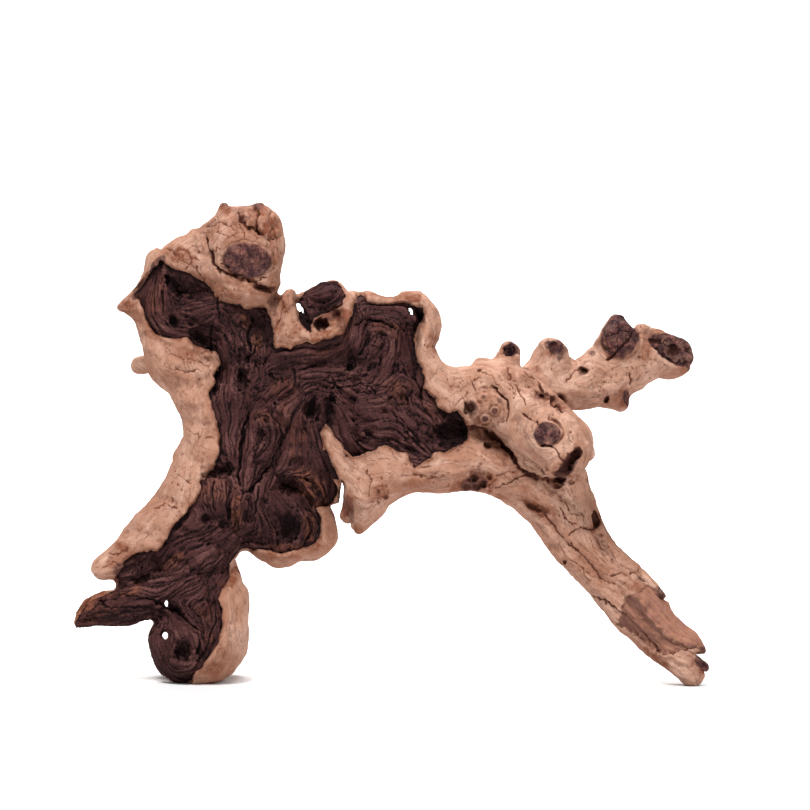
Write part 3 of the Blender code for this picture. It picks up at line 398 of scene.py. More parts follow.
# Broad swells in the front: (x, z, half width, half height, lean, rise). A negative rise is a dip.
SWELLS = [
    # the teardrop, the lump beside it and the lobes
    (-70, 140, 11, 17, -14, 3), (-96, 104, 11.5, 13, 0, 3.2), (-84.6, 97, 4, 13, 0, 1.6),
    (-51, 88, 7, 10, 0, 2.2), (-61, 106, 9, 5, -30, -2.6), (-42, 110, 8, 7, -40, 1.8),
    (-55, 138, 6, 18, -8, 1.2), (-91, 146, 6, 20, -4, 1.4), (-86, 80, 14, 5, 40, -2.2),
    (-100, 72, 16, 6, 38, 1.8), (-95, 120, 9, 3.4, 0, -2.8), (-106, 60, 10, 6, 20, -1.4),
    # the foot and the spike
    (-103, 22, 5, 14, 10, 1.6), (-118, 28, 6, 5, 0, 1.2), (-116, 8, 9, 4, 0, 1.4),
    (-150, 44, 16, 3.6, 4, 1.6), (-140, 38, 9, 2.6, 0, -1.2), (-142, 58, 8, 4, 20, -1.2),
    # the plate
    (-64, 166, 7, 9, -30, 1.8), (-40, 174, 14, 4, 8, 1.4), (-38, 186, 18, 4, 10, 1.2),
    (-20, 176, 4, 10, 10, -1.8), (0, 206, 14, 5, -14, 1.6), (2, 190, 5, 14, 0, 1.4),
    (-10, 192, 4, 12, 14, -1.8), (12, 190, 3, 16, 0, -1.4), (8, 168, 8, 9, -40, 2.4),
    (-8, 160, 8, 4, -10, 1.4), (0, 147, 20, 5, -22, 1.6), (20, 150, 8, 9, -45, 1.2),
    (-22, 150, 4, 12, 14, -2), (-60, 190, 8, 4, 0, -1.6), (-84, 160, 4, 14, 0, -1.4),
    (-73, 168, 5, 8, 0, 1.4), (36, 142, 9, 8, 20, -2.4),
    # the hollow of the neck
    (-132, 214, 5, 16, -14, 1.6), (-106, 222, 12, 7, -24, -1.6), (-104, 206, 12, 5, 0, 1.4),
    (-72, 202, 7, 7, 0, -1.8), (-86, 206, 6, 5, 0, 1.4), (-106, 195, 10, 4, -12, -1.2),
    # the dark knob
    (-38, 219, 8, 5, 10, 1.6), (-30, 212, 4, 3, 30, 1.2), (-47, 214, 3, 5, -20, 1),
    # the sapwood: the head's brow and dome, the neck's left side
    (-80, 239, 18, 14, -6, 1.4), (-115, 240, 11, 7, -30, 1.6), (-104, 250, 6, 5, 30, -1),
    (-70, 262, 5, 6, 0, 1.4), (-83, 262, 4, 5, 20, 1.2), (-58.6, 212, 3, 9, 8, 1.4),
    (-124, 178, 12, 6, -30, 1.4), (-104, 180, 7, 4, -20, -1), (-112, 162, 8, 5, -30, 1.2),
    (-108, 137, 8, 8, 0, 1.4), (-120, 113, 9, 9, 0, 1.4), (-136, 91, 9, 6, 40, 1.4),
    (-150, 76, 7, 4, 40, 1.2), (-90, 30, 6, 18, 0, 1.2), (-42, 84, 4, 8, 10, 1),
    # the lower limb, the spur and the knuckle
    (30, 119, 16, 5, 4, 1.2), (-14, 108, 8, 12, -10, 1.2), (4, 112, 7, 4, 0, -1),
    (56.5, 156, 8.6, 9.6, 0, 2.2), (44, 166, 7, 6, 0, -1), (76, 158, 16, 7, -35, 1.4),
    (90, 141, 12, 11, 0, 1.4), (72, 145, 5, 8, -30, -1.2), (104, 138, 5, 8, 30, 1.2),
    (60, 136, 9, 5, -35, -2.2), (56, 122, 12, 5, -10, 1.2), (80, 176, 6, 5, -40, -1),
    # the long root
    (96, 100, 9, 14, 40, 1.2), (112, 82, 6, 18, 38, 1.2), (92, 82, 4, 16, 38, -1),
    (126, 52, 6, 12, 42, -0.8), (150, 40, 5, 14, 48, 1.4), (160, 14, 10, 4, -30, 1),
    # the branch
    (130, 195, 10, 11, 0, 1.8), (112, 168, 12, 5, 10, 1), (146, 180, 8, 6, 0, 1), (93, 184, 6, 6, 0, 1.2),
    (161, 187, 9, 8, 0, -1.6), (141, 200, 4, 3, 0, 1.2),
]

# Folds in the front: (half width, depth, x and z of each point). A negative depth is a ridge.
FOLDS = [
    # the heartwood: round the teardrop, the lump and the lobes, and in the foot
    (1.2, 1.8, -66, 154, -60, 148, -57.2, 141, -60.5, 132, -66, 124, -73, 116, -81, 108),
    (1.1, 1.8, -79, 152, -82, 143, -84, 132, -85, 120, -86, 112),
    (1.3, 2, -108, 108, -105, 115, -98, 119, -91, 118, -86, 113), (1, 1.6, -87, 110, -88.6, 100, -87, 90),
    (1, 1.4, -79.6, 104, -79, 95, -78, 87), (1.1, 1.8, -104, 92, -97, 91, -90, 87, -82, 81, -72, 79),
    (1.1, 1.6, -120, 88, -110, 83, -98, 77, -88, 72), (1.1, 1.6, -124, 70, -114, 66, -104, 60, -99, 52),
    (1.1, 1.8, -128, 46, -120, 41, -114, 35, -109, 30), (1, 1.4, -100, 44, -101, 34, -104, 24, -108, 16),
    (1.1, 1.5, -170, 42, -160, 45.6, -148, 47.4, -136, 47, -128, 44),
    (1, 1.4, -152, 39.6, -142, 40, -132, 38), (1.2, 1.8, -48, 100, -45, 92, -46, 83),
    (1.2, 1.6, -66, 96, -64.6, 88, -68, 80),
    # the plate
    (1.2, 1.8, -68, 172, -60, 170, -54, 172, -46, 178, -34, 179, -24, 179),
    (1.1, 1.6, -52, 166, -57, 162, -64, 160, -66, 154),
    (1.1, 1.8, -46, 150, -44, 158, -38, 167, -31, 168, -24, 164, -20, 154),
    (1.1, 1.6, -26, 198, -23, 190, -22, 180), (1.1, 1.7, -12, 204, -13, 195, -16, 186),
    (1.1, 1.6, -4, 200, -2.6, 191, -5, 180, -8, 171), (1.1, 1.6, 9, 206, 9.6, 196, 8, 184, 4, 176),
    (1.2, 1.9, 2, 170, 8, 176, 14, 173, 17, 164, 18, 156, 26, 148), (1.1, 1.6, -18, 162, -8, 164, 0, 168),
    (1.1, 1.6, -20, 149, -8, 149, 2, 152, 8, 158), (1.2, 1.6, -18, 136, -6, 137, 4, 138, 12, 132),
    (1.1, 1.6, -80, 182, -74, 180, -66, 184), (1.1, 1.5, -94, 178, -92, 166, -89, 154),
    # the hollow of the neck
    (1.2, 1.8, -127, 232, -128, 222, -127, 212, -124, 203), (1.2, 1.6, -112, 228, -104, 222, -96, 216),
    (1.2, 1.7, -116, 206, -106, 200, -96, 200), (1.1, 1.6, -92, 212, -90, 203, -91, 194),
    (1.1, 1.6, -79, 208, -78, 200, -80, 190), (1, 1.5, -48, 218, -42, 214, -34, 216, -29, 221),
    # the head
    (1.1, 2.4, -85.6, 269, -84.6, 263, -81, 258.8, -77, 255.4, -75, 252.4),
    (1.6, -1.6, -84, 266, -80.6, 261.6, -76.6, 258), (1.2, 2.6, -75.4, 268, -75.4, 260, -74, 252.6),
    (1.8, -1.8, -71.6, 266, -70.6, 259, -68, 253), (1.2, 2, -68.4, 264, -66.4, 257, -67.4, 251),
    (1, 1.6, -74, 251.6, -69, 250, -62, 252), (1.3, -1.4, -79.6, 250.4, -74.6, 251, -70, 248.6),
    (0.9, 1.4, -78, 262, -76, 257, -72, 252.5, -66, 250),
    (1.3, 1.5, -101.8, 252, -100.4, 243.2, -98.3, 237.5, -94, 232.6, -87, 229.8, -77.1, 226.2),
    (1.8, -1, -97.6, 246, -96, 239, -92.5, 233.5, -86, 230.6),
    (2.4, 1.4, -107, 262, -104, 256, -101, 249, -101.6, 243, -105, 236),
    (3, -1.2, -114, 249, -118, 243, -122, 238), (2.2, 1.2, -125, 247, -126, 241, -122, 235),
    (2, -1.2, -72, 263, -67.5, 255, -64.5, 246, -63.5, 236), (1.6, -1.3, -58.2, 221, -60.1, 211, -64, 200),
    (1.8, 1.4, -63, 222, -64, 213, -66.5, 206), (1.8, 1, -55, 213, -57, 205, -60, 198, -62, 194),
    (2, -0.8, -100, 227, -92, 220.6, -83, 219.5, -74, 217.6),
    # the sapwood left of the neck, and the leg's outer band
    (2, 1.2, -139, 197, -130, 191, -120, 187, -110, 186, -101, 183),
    (2.2, -1, -136, 191, -126, 184, -114, 179, -103, 176),
    (1.8, 1.2, -124, 172, -116, 168, -108, 169, -101, 166), (2.2, -1, -118, 160, -110, 158, -102, 153),
    (1.8, 1.3, -117, 150, -110, 148, -104, 145, -98, 140), (2.4, -1.1, -114, 140, -108, 136, -101, 130),
    (1.8, 1.3, -124, 126, -116, 128, -110, 124, -104, 121), (2.2, -1, -127, 116, -120, 113, -113, 106),
    (1.6, 1.2, -134, 103, -126, 104, -119, 100), (2.2, -1.2, -143, 94, -134, 92, -126, 88),
    (1.6, 1.2, -150, 84, -142, 85, -134, 81, -128, 79),
    # the lobes and the foot
    (1.4, 0.9, -82, 55, -87, 47, -86, 36, -88, 24, -92, 10),
    (1.8, -0.7, -90, 50, -90, 36, -93, 22, -101, 8), (1.2, 0.9, -36, 92, -32, 86, -32, 79),
    # the cup below the dark knob
    (1.6, -1.4, -50, 197.5, -42, 194.8, -34, 196.6, -27, 200, -24.2, 207, -23.6, 214),
    (1.4, 1.2, -40, 199, -34, 199.5, -29, 204, -28, 210),
    # the right rim
    (1.6, -1, 18, 216, 23, 211, 23, 203, 20, 195, 20.6, 186, 25, 178, 31, 170),
    (1.4, 0.9, 27, 208, 26.6, 200, 22, 190, 25, 182),
    # the spur and the lower limb
    (2, -1.2, -33.6, 140, -28, 128, -20, 116, -16, 104, -15.6, 92),
    (1.8, 1.2, -24, 126, -16, 120, -9, 113, -7, 104, -10, 95),
    (2.2, -0.9, -20, 127, -10, 121, 0, 117, 8, 112), (1.6, 1, 4, 128, 12, 120, 20, 116, 32, 115),
    (2, -0.9, 16, 124, 26, 124, 36, 126, 46, 128), (1.6, 0.9, 22, 110, 34, 112.5, 44, 116, 52, 121),
    # the knuckle
    (2.2, 1.6, 43, 150, 44, 158, 42, 164, 36, 168),
    (1, 1.5, 48.2, 162.4, 52, 165.5, 57, 166.6, 63.6, 163, 66, 156, 63.5, 148.6, 58, 144.6),
    (3, 1.4, 50, 139, 57, 136, 63, 130, 67, 123), (2, -1, 45, 126, 53, 126, 61, 122, 69, 117),
    (2, -1.2, 50, 176, 60, 171, 70, 164, 80, 158, 90, 151), (2, 1.2, 66, 172, 76, 166, 84, 160, 92, 154),
    (1.6, -1.1, 81, 136, 82.5, 145, 89, 150.5, 96, 149, 100, 143),
    (1.8, 1.2, 72, 146, 76, 138, 81, 130, 88, 122), (1.5, -2, 105.4, 135, 97, 126, 90.4, 117.4),
    (1.5, -1.6, 110, 133.6, 107.6, 123.4, 98, 112.6), (1.8, 1.2, 98, 152, 104, 144, 106, 137),
    (1.6, -1, 68, 133, 74, 126, 79, 119, 88, 115),
    # the long root
    (1.5, 1.3, 86, 98, 91, 90.5, 98, 82, 106, 75, 113, 67, 120, 59.5),
    (2.2, -1.2, 93, 105, 104, 91, 117, 76, 130, 61, 143, 48),
    (1.5, 1, 99, 106, 110, 94, 121, 79, 133, 64, 146, 55),
    (1.4, 1, 79, 93, 92, 76, 106, 61, 118, 49.5, 132, 36, 146, 21),
    (2.2, -1, 84, 92, 97, 75, 112, 58, 127, 44, 140, 30), (1.8, 1.2, 70, 103, 78, 101, 86, 96),
    (1.4, -1.8, 139, 52, 143, 42, 149, 33, 157, 26.6, 170, 21),
    (1, 1, 134, 44, 146, 33, 158, 23, 170, 19.5), (1.2, 1, 142, 46, 152, 40, 162, 33, 174, 26),
    (1.3, 1.2, 150, 12, 160, 13, 168, 9, 176, 10),
    # the branch
    (1.8, 1.5, 119, 199, 120.5, 189, 125, 183, 133, 183, 139.5, 188, 142, 198),
    (1.8, 1.2, 83, 190, 84, 181, 81, 174), (1.8, 1.4, 99.5, 189, 102, 180, 101, 170),
    (1.2, 1.2, 147, 192.6, 152, 188.6, 158, 183.6, 168, 180),
    (1, 1, 149, 196, 156, 192.6, 165, 191, 170, 187),
    (1.2, -1.2, 147, 190, 151, 184.6, 157, 180.4, 168, 177.4),
    (2.2, -1, 104, 165, 114, 163, 124, 165, 132, 170),
    (1.8, 1.1, 106, 172, 114, 170, 122, 172, 130, 176, 138, 176), (2, -0.9, 112, 182, 118, 186, 122, 192),
]

# Edges that stand over what lies right of their course: (depth, reach, x and z of each point).
LIPS = [
    (4.4, 7, -66, 113, -60, 115, -54, 114, -48, 109.4, -43.5, 102, -42, 97),
    (2.4, 6, -84, 113, -89, 118, -96, 119.4, -103, 117, -108, 110),
    (1.8, 5, -58.4, 140, -60.6, 146.6, -65, 152, -71, 154.6, -77, 153),
    (1.8, 5, -22, 171, -15, 173, -9, 169, -4, 168), (1.8, 5, -21, 201, -14, 206.4, -5, 205.4, 3, 202),
    (4.2, 6, 42, 143.6, 50.4, 145, 57.4, 142, 62, 138.4, 66.6, 133.6, 70.8, 128, 74.6, 121.6, 81.5, 117,
     91, 114.9, 99, 116.6), (1.6, 5, 57, 107, 64, 110.4, 72.1, 113.4, 80, 116.4),
    (1.4, 5, 76, 180, 81, 174, 88, 165.5, 94, 158.6, 101, 154),
    (1.5, 5, -77, 226.6, -70.5, 225.6, -63, 226.4), (1.3, 5, 109, 115, 103, 113, 97, 114, 91, 114),
]

# Patches of pores in the sapwood: (x, z, half width, half height, pores, radius).
PORES = [
    (-115, 241, 9, 5, 26, 0.6), (-90, 258, 12, 7, 14, 0.45), (-70, 246, 6, 9, 10, 0.5),
    (-93, 221, 10, 4, 16, 0.5), (-58, 212, 5, 7, 12, 0.5), (-55, 200, 7, 5, 16, 0.6),
    (-46, 196, 4, 3, 8, 0.5), (-134, 205, 5, 9, 10, 0.5), (-112, 181, 10, 6, 10, 0.45),
    (-122, 110, 5, 20, 12, 0.45), (-97, 30, 6, 18, 12, 0.4), (49, 113, 10, 5, 34, 0.7),
    (20, 113, 18, 4, 16, 0.5), (5, 218, 10, 3, 14, 0.6), (14, 219, 4, 3, 8, 0.6), (23, 190, 4, 6, 12, 0.6),
    (40, 170, 10, 5, 12, 0.5), (73, 166, 6, 5, 22, 0.6), (90, 152, 8, 5, 10, 0.5),
    (104, 140, 5, 8, 10, 0.5), (118, 172, 14, 9, 20, 0.5), (143, 178, 7, 8, 14, 0.5),
    (135, 199, 8, 4, 12, 0.5), (92, 182, 8, 5, 12, 0.5), (100, 92, 14, 10, 14, 0.45),
    (122, 68, 9, 9, 12, 0.45), (-10, 103, 6, 8, 8, 0.45), (-28, 132, 3, 8, 5, 0.4),
    (-43, 84, 5, 6, 6, 0.4), (60, 130, 10, 6, 10, 0.5), (-5, 107.6, 6, 5.6, 34, 0.75),
    (71, 166, 5, 6, 20, 0.6),
]

# Patches of orange-brown stain on the sapwood, and a few of painted shadow under overhangs: (x, z, half
# width, half height, lean, strength).
STAINS_AND_SHADOWS = [
    # The first row is painted shadow under the flap on the long root.
    (81, 100.4, 9, 3.4, -27, 1), (-5, 107.6, 6, 5.4, 0, 0.8), (86, 161.6, 6, 4, -30, 0.7),
    (168, 178, 6, 5, 0, 0.8), (155, 197.6, 8, 3, 0, 0.7), (-34, 88, 6, 11, 0, 0.5),
    (-136, 88, 13, 22, -40, 0.3), (118, 72, 16, 30, 42, 0.4), (12, 118, 34, 10, 6, 0.2),
    (-122, 190, 18, 20, 0, 0.15), (-86, 250, 26, 24, 0, 0.45), (-66, 244, 6, 22, 0, 0.45),
    (-82, 262, 14, 7, 0, 0.6), (-67.6, 257, 6, 8, 10, 1), (-118, 241.6, 10, 5, -20, 1),
    (-104, 228, 6, 4, -30, 0.5), (-150, 76, 6, 3, -30, 0.9), (-157, 69, 2.4, 5, 20, 0.7),
    # (63, 131) here, and (60, 128) and (46, 142) below, are painted shadow under the knuckle's lip.
    (-32, 206, 6, 5, 40, 0.9), (63, 131, 9, 4, -44, 0.7), (-64.6, 248, 4, 14, 4, 0.8),
    (-72, 260, 6, 7, 0, 0.7), (-85, 228, 12, 4, -8, 0.7), (-92.6, 268, 4, 5, 0, 0.9),
    (-73, 267, 5, 5, 0, 1), (-26, 206, 5, 9, 14, 1), (-36, 196.6, 9, 3, 8, 1), (-60, 213, 3, 9, 4, 0.9),
    (-140, 209, 7, 9, 20, 0.5), (-72, 222, 8, 3, 0, 0.8), (-146, 213, 7, 4, 10, 0.8),
    (60, 128, 12, 4, -40, 0.5), (46, 142, 8, 4, -10, 0.6), (101, 123, 7, 13, -38, 0.7),
    (120, 60, 12, 5, -42, 0.5), (142, 53, 9, 4, -30, 0.8), (160, 46, 8, 4, -40, 0.7),
    (174, 14, 6, 7, 0, 0.6), (92, 96, 8, 4, -40, 0.6), (-113, 184, 10, 3, -10, 0.6),
    (-136, 178, 5, 6, 0, 0.4), (-8, 108, 6, 6, 0, 0.6), (5, 218, 8, 3, 0, 0.7), (-148, 213, 6, 4, 20, 1),
    (-66, 257, 4, 6, 0, 0.9), (-92, 220, 14, 4, -15, 0.7), (-81, 228, 9, 2.5, -10, 0.7),
    (-60, 214, 4, 10, 0, 0.7), (-61, 200, 5, 6, 0, 0.8), (-54, 198, 5, 5, 0, 0.5),
    (-35, 210, 9, 5, 0, 0.9), (-28, 204, 6, 6, 0, 0.6), (-133, 202, 5, 10, 15, 0.7),
    (-112, 187, 12, 4, 0, 0.7), (-116, 240, 9, 5, -20, 0.6), (-153, 71, 8, 5, 40, 0.4),
    (-165, 50, 12, 4, 40, 1), (-174, 42, 9, 3, 45, 0.9), (-88, 60, 3, 6, 0, 1), (-99, 8, 6, 5, 30, 0.7),
    (-96, 20, 3, 10, 10, 0.4), (-60, 72, 12, 2.5, 0, 0.9), (-42, 76, 6, 3, 30, 0.9),
    (-41, 98, 3, 3, 0, 0.8), (-23, 99, 4, 9, 0, 0.9), (-17, 86, 3, 4, 0, 0.8), (0, 112, 8, 5, 20, 0.5),
    (14, 112, 12, 3, 10, 0.6), (49, 112, 13, 7, 10, 1), (62, 104, 8, 3, 20, 0.8), (13, 218, 6, 4, 0, 0.9),
    (-5, 218, 8, 2.5, 0, 0.7), (24, 193, 4, 7, 0, 0.7), (18, 200, 3, 5, 0, 0.5), (46, 148, 8, 4, -10, 0.4),
    (56, 155, 10, 9, 0, 0.2), (70, 187, 7, 5, 0, 0.8), (68, 175, 4, 6, 0, 0.5), (80, 172, 8, 5, -40, 0.35),
    (96, 158, 7, 5, -30, 0.8), (108, 136, 4, 6, 0, 0.4), (108, 128, 6, 6, 0, 0.5),
    (116, 93, 5, 9, 14, 0.7), (93, 188, 7, 5, 0, 0.7), (129, 195, 11, 10, 0, 0.35),
    (133, 160, 6, 5, 0, 0.9), (146, 190, 4, 9, 0, 0.8), (150, 176, 10, 3, 0, 0.3),
    (84, 96, 14, 3.5, -42, 0.6), (118, 58, 14, 3, -42, 0.5), (150, 14, 14, 3, -42, 0.8),
    (178, 14, 5, 8, 0, 1), (80, 106, 10, 3, -40, 0.5), (72, 118, 8, 5, 20, 0.4),
]

# Patches of the heartwood that are rust-brown: (x, z, half width, half height, lean, strength).
RUST = [
    (-43, 111, 12, 7, -38, 1), (-37, 101, 6, 5, 0, 1), (-45, 90, 4, 10, 0, 0.7),
    (-86.5, 98, 3.5, 13, 0, 0.7), (-98, 108, 9, 8, 0, 0.35), (-56, 112, 6, 2, -20, 0.5),
    (-168, 46, 12, 3.4, 42, 1), (-150, 51, 12, 3, 10, 0.8), (-160, 40, 14, 4, 20, 0.45),
    (-74, 193, 3.5, 6, 0, 1), (-82, 204, 4, 4, 0, 0.5), (-132, 218, 5, 12, -10, 0.4),
    (-143, 217, 4, 5, 0, 0.7), (-26, 207, 5, 9, 8, 0.9), (-60, 150, 5, 9, -20, 0.35),
    (-52, 140, 5, 14, -8, 0.3), (-60, 166, 9, 6, -30, 0.35), (4, 166, 9, 8, -40, 0.35),
    (0, 200, 12, 4, -14, 0.25), (-104, 40, 7, 5, 0, 0.35), (-101, 20, 5, 12, 10, 0.35),
    (-94, 52, 3, 6, 0, 0.7), (-57, 76, 12, 3, 0, 0.6), (-120, 70, 10, 3, 35, 0.4),
    (26, 154, 7, 5, -50, 0.35), (38, 146, 4, 3, 0, 0.3), (-36, 186, 14, 4, 8, 0.25),
    (-72, 150, 6, 5, 0, 0.35),
]

# Places that are darker than the wood round them: (x, z, half width, half height, lean, strength).
DARK_PATCHES = [
    (-80.6, 238.6, 13.6, 10.2, -6, 1), (54.2, 149.2, 2, 1.9, 0, 0.9), (59.8, 153.4, 1.9, 2.1, 0, 0.8),
    (62.4, 159.4, 1.2, 1.6, 20, 0.6), (53.4, 161.4, 1.5, 1.2, 20, 0.7), (90, 140.8, 7.5, 6.8, 10, 1),
    (-33.6, 208.4, 6, 4, 20, 0.6), (-27, 203, 3, 4, 0, 0.5), (48, 112.4, 8, 4.6, 10, 0.7),
    (134.4, 160.4, 2.2, 4.4, 10, 1), (94, 190, 4.4, 4.4, 0, 1), (90.4, 191, 3, 2.6, 0, 1),
    (-150.6, 63.5, 5.5, 5, 20, 0.8), (-92.4, 271, 2.4, 2.2, 0, 0.5), (-74, 269.6, 3, 2.6, 20, 0.7),
    (-84, 264, 5, 3, -35, 0.3), (-131, 236, 7, 3, 50, 0.8), (-141, 222, 7, 2.5, 55, 0.7),
    (-22, 98, 2.6, 8, 10, 0.5), (69.4, 188, 3.4, 4.6, 0, 1), (177, 20.4, 7, 3, -34, 0.85),
    (177.4, 11.4, 5.4, 3.4, -42, 0.85), (153, 51, 5, 2.6, -30, 0.8), (114.6, 113.4, 4, 2, -30, 0.6),
    (146.4, 196, 3, 4, 0, 0.5), (115, 186.3, 1.6, 1.2, 40, 0.8), (141.3, 184, 1, 1, 0, 0.8),
    (101.2, 123, 4, 10.6, -38, 0.9), (84, 161.6, 2.4, 1.6, -30, 0.7), (51, 118.6, 6, 2, 0, 0.4),
]

# The same with drawn outlines: (strength, x and z of each point).
DARK_SHAPES = [
    (1, 128, 212, 133.4, 208, 138.6, 201, 141.2, 197.2, 140.4, 190.6, 137, 186.2, 132.2, 183.2, 125.6,
     183.8, 121.2, 187.6, 119.4, 193, 120, 198, 120.4, 203, 124, 209), (0.97, 146, 194.3, 149.4, 196.6,
     157.8, 197.2, 165.4, 196, 176, 194, 176, 179.4, 170.5, 180.1, 168.2, 178.7, 162.5, 179.2, 156.9,
     182.5, 152.2, 185.3, 149.4, 189.1, 146.4, 191.6),
    (0.8, 166, 181.4, 172, 181.4, 174, 176, 172, 171.6, 168.4, 173.4, 169.2, 177.4),
    (0.7, 104, 190, 99, 186, 96, 181, 94.6, 184, 96.6, 190),
]

